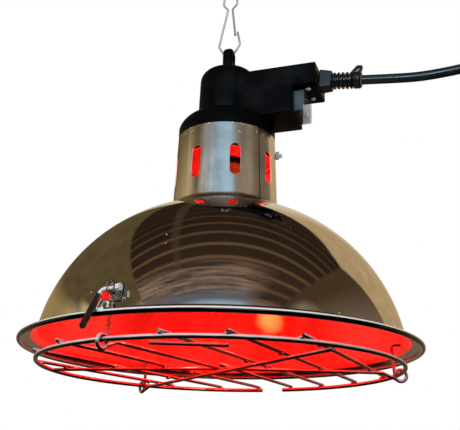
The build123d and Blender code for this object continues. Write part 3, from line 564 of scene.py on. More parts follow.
mains_lead, lead_length = make_cord()
print("lead", round(lead_length, 3), "m")

# %% [markdown]
# ## The black finishes
# Head, collar and switch box are moulded in black plastic with a satin skin. It isn't evenly
# dull: handling polishes it in patches and dust greys it a little on top. A fine grain in the
# bump breaks up the reflection of the lights. The collar is lined with pale metal where it
# stands in the neck. The lead and the strain relief are soft rubber with a faint gloss, and the
# sleeve of the latch and the rocker are glossy.

# %% Black finishes
moulding_black = (0.0016, 0.002, 0.0026)


def black_moulding():
    finish = Finish("black_moulding")
    place = finish.place()
    patches = place.noise(38.0, 4.0)
    grain = place.noise(1500.0, 2.0)
    upward = finish.look().part(2)
    dust = upward.ramp(0.2, 1.0) * patches.ramp(0.45, 0.75)
    return finish.surface({
        "Base Color": (dust * 0.2).mix(moulding_black, (0.02, 0.02, 0.019)),
        "Roughness": patches.ramp(0.35, 0.65, 0.24, 0.46) + grain * 0.06,
        "Normal": grain.bump(0.12, 0.0002),
        "Specular IOR Level": 0.06,
        "Coat Weight": patches.ramp(0.44, 0.66, 0.0, 0.42),
        "Coat Roughness": 0.22,
        "Coat Tint": (0.82, 0.94, 1.0),
    })


def lined_moulding():
    finish = Finish("lined_moulding")
    patches = finish.place().noise(38.0, 4.0)
    lining = finish.from_axis().ramp(44.4 * mm, 43.8 * mm) * finish.rise(213.5, 212)
    return finish.surface({
        "Base Color": lining.mix(moulding_black, (0.78, 0.76, 0.73)),
        "Metallic": lining * 0.2,
        "Roughness": patches.ramp(0.35, 0.65, 0.2, 0.46),
        "Specular IOR Level": 0.07,
    })


def black_rubber(name, shade):
    finish = Finish(name)
    place = finish.place()
    bloom = place.noise(55.0, 4.0)
    grain = place.noise(1800.0, 2.0)
    dark, pale = ((0.78 * tone, tone, 1.15 * tone) for tone in (shade * 0.6, shade))
    return finish.surface({
        "Base Color": bloom.ramp(0.35, 0.75).mix(dark, pale),
        "Roughness": bloom.ramp(0.3, 0.7, 0.3, 0.44),
        "Normal": grain.bump(0.08, 0.0002),
        "Coat Weight": bloom.ramp(0.3, 0.7, 0.9, 0.5),
        "Coat Roughness": 0.16,
    })


moulding_finish = black_moulding()
lined_finish = lined_moulding()
cord_finish = black_rubber("cord_rubber", 0.014)
rubber_finish = black_rubber("black_rubber", 0.008)
gloss_tones = (0.009, 0.008, 0.007), (0.022, 0.019, 0.016)
gloss_finish = mottled("black_gloss", 120.0, gloss_tones, (0.16, 0.3), span=(0.35, 0.7))
finish_piece(mains_lead, cord_finish, "black_rubber", "lamp", "cord", "cord_coil")

# %% [markdown]
# ## Polished sheet
# The bowl and the neck are spun from bright sheet and polished. A spun surface keeps faint
# rings from the tool, fine scratches along them and smudges from hands. Inside, the bowl is
# duller and scatters the red light of the bulb, so there it is only partly a mirror, and its
# lining has a pink tint that is a painted red glow. The way the face looks tells inside from
# outside: on the inside of the bowl it looks down. The outer face of the rolled bead is painted
# dark as a painted reflection, with a painted highlight along its top. A dark line on the neck is
# the seam of its rolled sheet.

# %% Polished finishes
neck_seam_angle = radians(-31.5)


def polished_bowl():
    finish = Finish("polished_bowl")
    place = finish.place()
    from_axis = finish.from_axis()
    ring_sockets = {"W": place.part(2), "Scale": 900.0, "Detail": 3.0}
    rings = finish.node("TexNoise", {"noise_dimensions": "1D"}, ring_sockets)
    smudge = place.noise(16.0, 5.0, 0.6)
    scratch = place.stretched((60.0, 60.0, 1400.0)).noise(1.0, 3.0, 0.7)
    brushed = place.stretched((14.0, 14.0, 160.0)).noise(1.0, 3.0, 0.6)
    streaks = place.stretched((34.0, 34.0, 2.0)).noise(1.0, 3.0)
    downward = finish.look().part(2).ramp(-0.02, -0.12)
    inside = downward * from_axis.ramp(165.0 * mm, 163.5 * mm)
    flare = from_axis.ramp(158.6 * mm, 160.0 * mm)
    outward = (finish.outward() / from_axis).ramp(-0.4, -0.1)
    # Painted reflection: the outer face of the bead is painted dark.
    bead = from_axis.ramp(169.6 * mm, 170.4 * mm) * outward
    # Painted highlight: a pale line along the top of the bead, with less metal.
    painted_bead_highlight = finish.rise(0.3, 0.9) * bead
    few = place.noise(26.0, 2.0).ramp(0.57, 0.6)
    specks = finish.cells(120.0).ramp(0.07, 0.035) * few * (1 - inside)
    scratches = scratch.ramp(0.68, 0.8) * 0.1
    outside_rough = smudge.ramp(0.4, 0.75, 0.025, 0.07) + scratches + rings * 0.02
    inside_rough = smudge.ramp(0.35, 0.7, 0.22, 0.34) + brushed * 0.08
    base = layered(
        smudge.ramp(0.35, 0.8).mix((0.80, 0.775, 0.735), (0.72, 0.685, 0.63)),
        (specks, (0.9, 0.9, 0.9)),
        (bead, (0.09, 0.07, 0.056)),
        (painted_bead_highlight, (0.92, 0.92, 0.93)),
    )
    # Painted red glow: the lining is tinted pink, and the streaks in it vary at random.
    lining = streaks.ramp(0.35, 0.6).mix((0.64, 0.50, 0.48), (0.88, 0.69, 0.67))
    return finish.surface({
        "Base Color": inside.mix(base, lining),
        "Metallic": 1 - inside * (0.5 + flare * 0.45) - specks - painted_bead_highlight * 0.75,
        "Roughness": outside_rough * (1 - inside) + inside_rough * inside,
        "Normal": rings.bump(0.015, 0.0004),
    })


def polished_neck():
    finish = Finish("polished_neck")
    place = finish.place()
    upright = place.stretched((420.0, 420.0, 18.0)).noise(1.0, 3.0)
    smudge = place.noise(24.0, 4.0)
    drops = (1 - finish.cells(260.0).ramp(0.1, 0.22)) * finish.rise(184, 200)
    turned = finish.maths("ARCTAN2", place.part(1), place.part(0))
    seam = abs(turned - neck_seam_angle).ramp(0.006, 0.016, 1.0, 0.0)
    inside = finish.outward().ramp(0.004, -0.004)
    rough = upright.ramp(0.3, 0.7, 0.13, 0.24) + smudge.ramp(0.5, 0.7) * 0.12
    return finish.surface({
        "Base Color": layered(
            smudge.ramp(0.38, 0.68).mix((0.93, 0.91, 0.875), (0.74, 0.715, 0.675)),
            (drops, (0.9, 0.9, 0.9)),
            (seam, (0.10, 0.08, 0.06)),
        ),
        "Metallic": 1 - inside * 0.8 - drops * 0.7 * (1 - inside),
        "Roughness": rough + drops * 0.3,
        "Normal": upright.bump(0.02, 0.0003),
    })


bowl_finish = polished_bowl()
neck_finish = polished_neck()

# %% [markdown]
# ## The bowl
# The reflector is one spun sheet: a flat seat under the neck, a long even curve, a crease, a
# concave flare and a rolled bead. The whole section is drawn once as a closed line, a
# millimetre thick, and spun. The window of the latch and the hangers' holes are cut last.

# %% Bowl
sheet = 1.0
wall_radius = 160.0
flare_width = 13.0
flare_drop = 6.5
flare_curve = 40.0
dome_curve = 152.0
seat_radius = 52.5
opening_radius = 43.0
seat_height = 126.0
bead_ring = wall_radius + flare_width
bead_size = bead_radius / mm
bead_ease = 0.06
hanger_angles = (20.0, 140.3)
hanger_hole_rise = 10.0
hanger_hole_radius = 1.8
latch_angle = radians(-103)
latch_rise = 19.0
window_half_width = 5.2
window_below = 6.3
window_above = 4.3
wall_cut_depth = 16


def dome_centre():
    """Centre of the bowl's outer arc."""
    half = Vector((wall_radius - seat_radius, seat_height - flare_drop)) / 2
    away = sqrt(dome_curve**2 - half.length**2)
    middle = Vector((wall_radius + seat_radius, seat_height + flare_drop)) / 2
    return middle - away * Vector((half.y, half.x)) / half.length


def dome_radius_at(height):
    """Outer radius of the bowl's wall at a height above the rim."""
    centre = dome_centre()
    return centre.x + sqrt(dome_curve**2 - (height - centre.y) ** 2)


def bowl_outline():
    """The bowl's section as a closed line."""
    lip = bead_ring - bead_size / 2
    lip_rise = bead_size / 2
    outer_foot = (wall_radius, flare_drop)
    inner_foot = (wall_radius - sheet, flare_drop)
    inner_seat = (seat_radius - sheet / 2, seat_height - sheet)
    outline = [(opening_radius, seat_height)]
    outline += arc_between((seat_radius, seat_height), outer_foot, dome_curve, 60)
    outline += arc_between(outer_foot, (lip, lip_rise + sheet / 2), -flare_curve, 12)[1:]
    outline += arc((bead_ring, 0), bead_size - bead_ease, 118, -190, 26)
    outline += arc_between((lip, lip_rise - sheet / 2), inner_foot, flare_curve + sheet, 12)
    outline += arc_between(inner_seat, inner_foot, dome_curve - sheet, 60)[::-1][1:]
    return outline + [(opening_radius, seat_height - sheet), (opening_radius, seat_height)]


def cut_bar(length, width, place):
    """A bar for cutting, longest along its own X."""
    start_clean()
    bpy.ops.mesh.primitive_cube_add(size=1)
    bar = bpy.context.object
    bar.scale = (length * mm, width[0] * mm, width[1] * mm)
    bpy.ops.object.transform_apply(scale=True)
    return put(bar, place)


def drill(radius, depth, vertices, place):
    """A round bar for cutting, along the X of its place."""
    start_clean()
    bpy.ops.mesh.primitive_cylinder_add(vertices=vertices, radius=radius * mm, depth=depth * mm)
    return put(bpy.context.object, place @ Matrix.Rotation(pi / 2, 4, "Y"))


bowl = spun("bowl", lifted(bowl_outline()), 256)
latch_wall = dome_radius_at(latch_rise)
window_size = (2 * window_half_width, window_below + window_above)
window_middle = latch_rise + (window_above - window_below) / 2
window_place = around(latch_angle, latch_wall, window_middle)
cut(bowl, cut_bar(wall_cut_depth, window_size, window_place))
for hanger_angle in hanger_angles:
    hole_place = around(radians(hanger_angle), wall_radius, hanger_hole_rise)
    cut(bowl, drill(hanger_hole_radius, wall_cut_depth, 24, hole_place))
smooth(bowl)
finish_piece(bowl, bowl_finish, "polished_sheet", "lamp", "reflector")
print("bowl faces", len(bowl.data.polygons), "wall radius at the latch", round(latch_wall, 1))

# %% [markdown]
# ## The neck
# A tapered tube stands on the bowl. Its foot flares out in a small curve, and eight upright
# slots with round ends let the heat out. The tube is spun, and each slot is cut by a cylinder
# whose upper half is pulled up and whose lower half is pulled down.

# %% Neck
neck_height = 75.0
neck_foot_radius = 49.0
neck_top_radius = 46.4
foot_flare_width = 3.0
foot_flare_height = 7.0
slot_count = 8
slot_length = 31.0
slot_width = 10.0
slot_rise = 38.6
slot_start_angle = 29.0
slot_cut_depth = 30
neck_top = seat_height + neck_height


def neck_radius_at(height):
    """Outer radius of the neck at a height."""
    taper = (neck_top_radius - neck_foot_radius) * (height - seat_height) / neck_height
    return neck_foot_radius + taper


def neck_outline():
    """The neck's section as a closed line."""
    knee_height = seat_height + foot_flare_height
    knee = neck_radius_at(knee_height)
    toe = knee + foot_flare_width
    count = 24
    rise = [knee_height + (neck_top - knee_height) * step / count for step in range(count + 1)]
    outline = [(knee - sheet, seat_height), (toe, seat_height)]
    outline += arc_between((toe, seat_height + sheet), (knee, knee_height), foot_flare_height, 8)
    outline += [(neck_radius_at(height), height) for height in rise[1:]]
    outline += [(neck_radius_at(height) - sheet, height) for height in rise[::-1]]
    return outline + [(knee - sheet, seat_height)]


def slot_cutter(angle):
    """A bar with round ends through one side of the neck."""
    middle = seat_height + slot_rise
    place = around(angle, neck_foot_radius, middle)
    cutter = drill(slot_width / 2, slot_cut_depth, 40, place)
    half = (slot_length - slot_width) / 2 * mm
    for vertex in cutter.data.vertices:
        vertex.co.z += half if vertex.co.z > rim_z + middle * mm else -half
    return cutter


neck = spun("neck_tube", lifted(neck_outline()), 160)
for number in range(slot_count):
    cut(neck, slot_cutter(radians(slot_start_angle + number * 360 / slot_count)))
smooth(neck, 40)
finish_piece(neck, neck_finish, "polished_sheet", "lamp", "neck")
print("neck faces", len(neck.data.polygons))

# %% [markdown]
# ## Collar and head
# The collar closes the neck with a rounded shoulder and the head stands on it: a round cap, an
# eyelet for the hook and a two-step box for the switch. A moulding has no sharp edges, so
# the blocks are pulled from outlines and their edges rounded, which gives them the fine
# highlights that black plastic lives by.

# %% Collar and head
collar_foot = 179.0
collar_bore = 42.6
collar_spigot = 45.1
collar_shoulder = 211.0
collar_shoulder_curve = 20.0
collar_top = 225.0
cap_top = 276.0
cap_foot_radius = 28.5
cap_side_radius = 27.5
cap_edge = 12.0
box_half_width = 21.2
box_start = 8.0
box_top = 263.5
box_ledge = 241.5
box_floor = 214.9
upper_box_end = 92.6
lower_box_end = 70.0
eyelet_half = 7.5
eyelet_foot = cap_top - 2
eyelet_thickness = 10.0
eyelet_hole_radius = 4.0
eyelet_hole_height = 296.0
eyelet_hole_low = eyelet_hole_height - 6

shoulder_ends = (cap_foot_radius, collar_top), (neck_top_radius, collar_shoulder)
collar_outline = [
    (collar_bore, collar_foot), (collar_spigot, collar_foot), (collar_spigot, neck_top),
    (45.9, neck_top), (neck_top_radius, neck_top + 0.5),
]
collar_outline += arc_between(*shoulder_ends, collar_shoulder_curve, 24)[::-1]
collar_outline += arc((cap_foot_radius + 0.2, collar_top + 0.5), 0.8, -30, 150, 8)
collar_outline += [
    (23.5, collar_top), (23.5, 220), (32.6, 219), (32.6, collar_shoulder),
    (collar_bore, collar_shoulder), (collar_bore, collar_foot),
]
collar = spun("collar", lifted(collar_outline), 128)
finish_piece(collar, lined_finish, "black_moulding", "lamp", "neck_collar")

cap_outline = [
    (0, collar_top), (cap_foot_radius - 0.6, collar_top), (cap_foot_radius, collar_top + 0.6),
]
cap_outline += arc((cap_side_radius - cap_edge, cap_top - cap_edge), cap_edge, 0, 90, 14)
cap_outline += [(0, cap_top)]
cap = spun("cap", lifted(cap_outline), 128)

box_corners = [
    (box_start, box_top), (upper_box_end, box_top), (upper_box_end, box_ledge),
    (lower_box_end, box_ledge), (lower_box_end, box_floor), (box_start, box_floor),
]
switch_box = slab("switch_box", lifted(box_corners), box_half_width)
soften(switch_box, 1.3 * mm)

lug_corners = [(-eyelet_half, eyelet_foot)]
lug_corners += arc((0, eyelet_hole_height), eyelet_half, 180, 0, 20) + [(eyelet_half, eyelet_foot)]
lug_outline = [at(-eyelet_thickness / 2, y, height) for y, height in lug_corners]
lug = block_of("eyelet", lug_outline, (eyelet_thickness * mm, 0, 0))
soften(lug, 3.4 * mm, 5)
hole_corners = arc((0, eyelet_hole_height), eyelet_hole_radius, 0, 180, 16)
hole_corners += arc((0, eyelet_hole_low), eyelet_hole_radius, 180, 360, 16)
hole_outline = [at(-eyelet_thickness, y, height) for y, height in hole_corners]
cut(lug, block_of("eyelet_hole", hole_outline, (2 * eyelet_thickness * mm, 0, 0)))
soften(lug, 1.2 * mm, 3, 65)
head = joined("head", [cap, switch_box, lug])
finish_piece(head, moulding_finish, "black_moulding", "lamp", "head_housing")
dress(moulding_finish, "black_moulding", 0.4, "box_cover", "switch_housing", "cord_clamp")
print("head faces", len(head.data.polygons))

# %% [markdown]
# ## Strain relief
# The lead leaves the box through a soft moulding: a square root, five ribs that let it bend,
# an end ring with a chamfer, and a slanted loop with a slit. The ribs and the ring are spun
# about their own axis, then tipped down with the root.

# %% Strain relief
relief_height = 253.0
relief_droop = radians(6)
rib_count = 5
rib_pitch = 4
first_rib = 12
rib_profile = [(6.0, 0.9), (7.6, 1.05), (8.0, 1.5), (8.0, 2.5), (7.6, 2.95), (6.0, 3.1)]
end_ring = [
    (7.0, 32.3), (7.9, 32.6), (8.0, 33.0), (8.0, 37.9), (6.5, 39.6), (4.6, 39.7), (0, 39.7),
]
root_start = (0, 16.0, 18.5)
root_end = (12.0, 13.5, 16.0)
loop_half = 2
loop_corners = [
    (27.7, 5.2), (27.7, 7.0), (33.4, 14.2), (34.9, 15), (38.6, 15), (39.6, 13.8), (37.9, 5.2),
]
slit_reach = 2.2
slit_radius = 1.25
slit_middle = Vector((34.6, 0, 10.4)) * mm
slit_lean = radians(-48)

relief_place = Matrix.Translation(at(upper_box_end, 0, relief_height))
relief_place = relief_place @ Matrix.Rotation(relief_droop, 4, "Y")
relief_outline = [(0, 11.0), (7.0, 11.0)]
for number in range(rib_count):
    start = first_rib + rib_pitch * number
    relief_outline += [(radius, start + along) for radius, along in rib_profile]
ribs = spun("ribs", scaled(relief_outline + end_ring), 48)
put(ribs, relief_place @ Matrix.Rotation(pi / 2, 4, "Y"))

start_clean()
bpy.ops.mesh.primitive_cube_add(size=1)
root = bpy.context.object
for vertex in root.data.vertices:
    along, width, height = root_end if vertex.co.x > 0 else root_start
    vertex.co = (along * mm, vertex.co.y * width * mm, vertex.co.z * height * mm)
soften(root, 1.2 * mm)
put(root, relief_place)

loop = slab("loop", scaled(loop_corners), loop_half)
soften(loop, 0.8 * mm)
slit_outline = arc((slit_reach, 0), slit_radius, -90, 90, 8)
slit_outline += arc((-slit_reach, 0), slit_radius, 90, 270, 8)
slit = slab("slit", scaled(slit_outline), 2 * loop_half)
put(slit, Matrix.Translation(slit_middle) @ Matrix.Rotation(slit_lean, 4, "Y"))
cut(loop, slit)
put(loop, relief_place)
relief = joined("relief", [ribs, root, loop])
finish_piece(relief, rubber_finish, "black_rubber", "lamp", "strain_relief")
dress(rubber_finish, "black_rubber", 0, "cord_tail")

# %% [markdown]
# ## Switch
# The rocker sits under a clear soft boot that keeps dust and straw out. The boot is a copy of
# its thin solid with softened edges, clear enough to show what is under it.

# %% Switch
boot_tones = (0.04, 0.07, 0.10), (0.11, 0.15, 0.18)
boot_finish = mottled("clear_soft", 90.0, boot_tones, (0.08, 0.2), clear=(0.22, 0.4))
dress(gloss_finish, "black_gloss", 0.4, "rocker")
dress(boot_finish, "clear_soft", 0.5, "switch_boot")

# %% [markdown]
# ## Bright wire
# Guard, hook and latch are bent from plated wire. The plating is bright but never perfect:
# it is duller in patches, with a few dark specks where dust has burnt on. The undersides of the
# guard's wires are dark with painted shade, and their tops stay bright. Hook, lever, screws
# and nuts are zinc plated, and the bracket of the latch is polished plate.

# %% Bright wire
def bright_wire():
    finish = Finish("bright_wire")
    place = finish.place()
    dull = place.noise(70.0, 4.0)
    specks = place.noise(420.0, 3.0, 0.6).ramp(0.74, 0.8)
    look = finish.look().part(2)
    # Painted shade: faces that look down are painted dark, so the tops stay bright.
    painted_underside_shade = (look + (dull - 0.5) * 0.3).ramp(0.2, -0.25)
    return finish.surface({
        "Base Color": layered(
            dull.mix((0.94, 0.92, 0.91), (0.76, 0.74, 0.72)),
            (painted_underside_shade, (0.05, 0.042, 0.038)),
            (specks * 0.7, (0.08, 0.065, 0.05)),
        ),
        "Metallic": 0.4 + painted_underside_shade * 0.5,
        "Roughness": dull.ramp(0.3, 0.7, 0.16, 0.26) + specks * 0.2,
    })


wire_finish = bright_wire()
zinc_look = 240.0, ((0.84, 0.85, 0.86), (0.95, 0.95, 0.94)), (0.2, 0.36)
zinc_finish = mottled("zinc_steel", *zinc_look, metallic=0.25, dents=0.05)
hook_finish = mottled("hook_steel", *zinc_look, metallic=0.7, dents=0.05)
plate_look = 130.0, ((0.86, 0.84, 0.81), (0.66, 0.63, 0.59)), (0.08, 0.2)
plate_finish = mottled("polished_plate", *plate_look, span=(0.35, 0.65), metallic=1.0)
dress(hook_finish, "bright_wire", 0, "snap_hook", "hook_gate")

# %% [markdown]
# ## The guard
# A ring, open at the far side, carries straight wires that are welded where they cross. The
# wires are clean copies of the solids. Small flattened beads stand for the welds: one is
# modelled, and the copies go to every place where two wires meet.

# %% Guard
guard_radius = 158.0
guard_height = -15.4
weld_height = guard_height + 2.0
weld_radius = 1.9
wire_reach = guard_radius + 4.0
spoke_start = 3.7
spoke_end = guard_radius - 12
spoke_angles = (140.3, 320.3, 20.0, 186.5, -103.0)
hub_wire_angle = 82.0
cross_wire_ends = [
    (-162.3, 128.0), (-139.6, 109.0), (-120.3, 94.5), (-86.1, 69.0), (-69.1, 53.9), (-49.9, 37.3),
]


def plan_point(radius, angle):
    """A point in the guard's plane."""
    return Vector((radius * cos(radians(angle)), radius * sin(radians(angle))))


def crossing(first, second):
    """Where two straight wires cross, or None."""
    along = first[1] - first[0]
    across = second[1] - second[0]
    turn = along.x * across.y - along.y * across.x
    if abs(turn) < 1e-6:
        return None
    gap = second[0] - first[0]
    here = (gap.x * across.y - gap.y * across.x) / turn
    there = (gap.x * along.y - gap.y * along.x) / turn
    return first[0] + along * here if 0 < here < 1 and 0 < there < 1 else None


def weld_places():
    """Where the cross wires meet the ring and the spokes."""
    wires = [[plan_point(wire_reach, angle) for angle in ends] for ends in cross_wire_ends]
    wires.append([Vector((0, 0)), plan_point(wire_reach, hub_wire_angle)])
    spokes = [[plan_point(reach, angle) for reach in (spoke_start, spoke_end)]
              for angle in spoke_angles]
    places = [plan_point(guard_radius, angle) for ends in cross_wire_ends for angle in ends]
    places += [crossing(straight, spoke) for straight in wires for spoke in spokes]
    return [place for place in places if place]


def weld_bead():
    """One weld: a small ball, pressed flat and drawn out a little."""
    start_clean()
    bpy.ops.mesh.primitive_uv_sphere_add(segments=12, ring_count=8, radius=weld_radius * mm)
    bead = bpy.context.object
    bpy.ops.transform.resize(value=(1.15, 1.0, 0.8))
    return put(bead, bead.matrix_basis.copy())


first_bead = weld_bead()
beads = []
for place in weld_places():
    bead = duplicate(first_bead, "bead")
    beads.append(put(bead, Matrix.Translation(at(place.x, place.y, weld_height))))
bpy.data.objects.remove(first_bead)
welds = joined("guard_welds", beads)
smooth(welds, 60)
finish_piece(welds, wire_finish, "bright_wire", "lamp")
dress(wire_finish, "bright_wire", 0,
      "guard_ring", "guard_spokes", "guard_cross_wires", "guard_hangers")
print("welds", len(beads))

# %% [markdown]
# ## The latch
# A bracket stands round a window in the bowl. A bent lever turns in its ears, its finger lifts
# the third hanger through the window, and a black sleeve covers its handle. A thin brace runs
# down beside the sleeve to the bead, and a staple holds it under the window.

# %% Latch
handle_lean = radians(42)
handle_side = radians(14.7)
handle_length = 45.5
handle_shift = 0.6
axle_out = 5
grip_length = 38.5
grip_radius = 2.35
grip_bore = 1.5
grip_past_end = 1.1
trim_radius = 0.8
brace_bend = 0.9
staple_bend = 1.6
brace_foot = ((-101.1, 175.0, 2.2), (-100.3, 174.7, 2.5), (-99.2, 173.0, 3.1))
staple_corners = ((0.5, -13.5, 1.5), (0.5, -9.0, 1.8), (6.0, -9.0, 1.8), (6.0, -13.5, 1.5))

wall_lean = (Vector((latch_wall, latch_rise)) - dome_centre()).normalized()
latch_axes = Matrix(((0, -wall_lean.y, wall_lean.x), (1, 0, 0), (0, wall_lean.x, wall_lean.y)))
latch_place = around(latch_angle, latch_wall, latch_rise) @ latch_axes.to_4x4()
latch_turn = Matrix.Rotation(latch_angle, 3, "Z")


def latch_point(along, rise, out):
    """A point on the bowl's wall at the latch, in millimetres along the rim, up and out."""
    return latch_place @ (Vector((along, rise, out)) * mm)


handle_way = latch_turn @ Vector((
    sin(handle_lean) * cos(handle_side),
    sin(handle_side),
    -cos(handle_lean) * cos(handle_side),
))
axle = latch_point(0, 0, axle_out)
handle_corner = axle + latch_turn @ Vector((0, -handle_shift * mm, 0))

sleeve_outline = [
    (grip_bore, 0), (2.1, 0), (grip_radius, 0.4), (grip_radius, grip_length - 1.2),
    (2.0, grip_length - 0.3), (grip_bore, grip_length), (grip_bore, 0),
]
sleeve = spun("sleeve", scaled(sleeve_outline), 32)
sleeve_start = handle_corner + handle_way * (handle_length + grip_past_end - grip_length) * mm
sleeve_turn = Vector((0, 0, 1)).rotation_difference(handle_way).to_matrix().to_4x4()
put(sleeve, Matrix.Translation(sleeve_start) @ sleeve_turn)
finish_piece(sleeve, gloss_finish, "black_rubber", "latch", "latch_grip")

dress(zinc_finish, "bright_wire", 0, "latch_lever")
dress(wire_finish, "bright_wire", 0, "latch_link")
dress(plate_finish, "zinc_steel", 0.2, "latch_bracket", "latch_rivets")
dress(zinc_finish, "zinc_steel", 0.2, "latch_nut")

brace_points = [latch_point(-1.6, -6.8, 2.5)]
for angle, radius, height in brace_foot:
    brace_points.append(around(radians(angle), radius, height).translation)
brace = wire("latch_brace", brace_points, trim_radius * mm, brace_bend * mm)
staple_points = [latch_point(*corner) for corner in staple_corners]
staple = wire("latch_staple", staple_points, trim_radius * mm, staple_bend * mm)
trim = joined("latch_trim", [brace, staple])
finish_piece(trim, zinc_finish, "bright_wire", "lamp")
print("latch axle at", [round(value, 4) for value in axle])

# %% [markdown]
# ## Lampholder and bulb
# The lampholder is white ceramic with brass inside. Near its foot it has a painted shadow
# band in black, and under that a brown band with a painted glow. The bulb's face glows. Its
# hottest part is a little off the middle, where the filament stands, and the back of the bulb is
# silvered and stays dark.

# %% Lampholder and bulb
holder_foot = 167.5
bulb_face = 60.5
hot_spot = at(12, 8, bulb_face)


def white_ceramic():
    finish = Finish("white_ceramic")
    glaze = finish.place().noise(80.0, 4.0)
    # Painted shadow: a black band a little above the holder's foot.
    painted_shadow_band = finish.rise(holder_foot + 12, holder_foot + 10)
    # Painted glow: the lowest band of the holder is brown and glows.
    painted_glow_band = finish.rise(holder_foot + 5, holder_foot + 3)
    return finish.surface({
        "Base Color": layered(
            glaze.mix((0.70, 0.68, 0.62), (0.82, 0.80, 0.75)),
            (painted_shadow_band, (0.004, 0.004, 0.004)),
            (painted_glow_band, (0.10, 0.05, 0.02)),
        ),
        "Roughness": glaze.ramp(0.3, 0.7, 0.18, 0.34),
        "Specular IOR Level": 0.15,
        "Emission Color": painted_glow_band.mix((0, 0, 0), (0.09, 0.02, 0.003)),
        "Emission Strength": 1.0,
    })


def red_glass():
    finish = Finish("red_glass")
    place = finish.place()
    face = finish.rise(bulb_face + 34, bulb_face + 4)
    from_hot = finish.node("VectorMath", {"operation": "DISTANCE"}, {0: place, 1: hot_spot}, 1)
    hot = from_hot.ramp(30 * mm, 6 * mm)
    streak = place.noise(60.0, 3.0)
    back = streak.mix((0.10, 0.035, 0.016), (0.22, 0.09, 0.05))
    glow = face.mix((0.025, 0.004, 0.0006), (1.0, 0.002, 0.001))
    return finish.surface({
        "Base Color": face.mix(back, (0.5, 0.02, 0.012)),
        "Roughness": streak.ramp(0.3, 0.7, 0.12, 0.24),
        "Emission Color": hot.mix(glow, (1.0, 0.12, 0.035)),
        "Emission Strength": 6.0,
    })


ceramic_finish = white_ceramic()
brass_tones = (0.74, 0.55, 0.24), (0.50, 0.34, 0.15)
brass_finish = mottled("brass_sheet", 110.0, brass_tones, (0.2, 0.4), metallic=1.0)
bulb_finish = red_glass()
dress(ceramic_finish, "white_ceramic", 0.6, "lampholder")
dress(brass_finish, "brass_sheet", 0,
      "screw_shell", "centre_contact", "bulb_base", "bulb_contact", "switch_terminals")
dress(bulb_finish, "red_glass", 0, "bulb_glass")

# %% [markdown]
# ## Plug, tie and screws
# The plug and the strap round the coil are softened copies of their solids. The two clamp
# screws under the box have a domed head with a cross in it, which catches the light. What is
# put away stays out of the metal's reflections, as it does in the photograph.

# %% Plug, tie and screws
clamp_x = 83.1
clamp_spread = 10.5
cross_turn = 0.4
screw_outline = [(0, 0), (2.6, 0), (2.5, -0.7), (1.9, -1.4), (1.0, -1.75), (0, -1.8)]
shank_outline = [(0, 0), (1.5, 0), (1.5, 7), (0, 7)]

dress(rubber_finish, "black_rubber", 1.0, "plug_body")
dress(brass_finish, "brass_sheet", 0, "plug_pins")
dress(rubber_finish, "black_moulding", 0.4, "coil_tie")
dress(zinc_finish, "zinc_steel", 0.3, "neck_nuts", "neck_screws", "holder_screws")
dress(zinc_finish, "zinc_steel", 0, "lampholder_plate")


def clamp_screw(y):
    """A domed screw head under the overhang of the box, with a cross recess, and its shank."""
    screw = spun("clamp_screw", scaled(screw_outline), 32)
    for turn in (cross_turn, cross_turn + pi / 2):
        lower = Matrix.Translation((0, 0, -1.7 * mm)) @ Matrix.Rotation(turn, 4, "Z")
        cut(screw, cut_bar(2.6, (0.6, 1.4), lower))
    shank = spun("shank", scaled(shank_outline), 24)
    place = Matrix.Translation(at(clamp_x, y, box_ledge))
    return put(joined("clamp_screw", [screw, shank]), place)


screws = joined("clamp_screw_pair", [clamp_screw(-clamp_spread), clamp_screw(clamp_spread)])
finish_piece(screws, zinc_finish, "zinc_steel", "lamp", "clamp_screws")
for name in ("mains_lead", "plug_body_piece", "plug_pins_piece", "coil_tie_piece"):
    bpy.data.objects[name].visible_glossy = False

# %% [markdown]
# ## The stage
# The ground is plain and pale, but polished metal shows what stands around it. So the eye sees
# a white world, while the metal sees a studio: slats under a dark cloth overhead, warm boards
# to the sides and cool screens behind the camera. The studio is worked out from the direction
# alone. A direction divided by its rise is a point overhead, and past the edges of the cloth
# it is a board. Red lights stand for the bulb's glow in the bowl and in the neck, and swing with
# the lamp. One small soft light is kept for the black rubber. It stands where the lead mirrors
# it to the camera, and draws a line of sheen along the lead.

# %% Stage
level_right = camera_turn @ Vector((1, 0, 0))
level_back = camera_turn @ Vector((0, -1, 0))


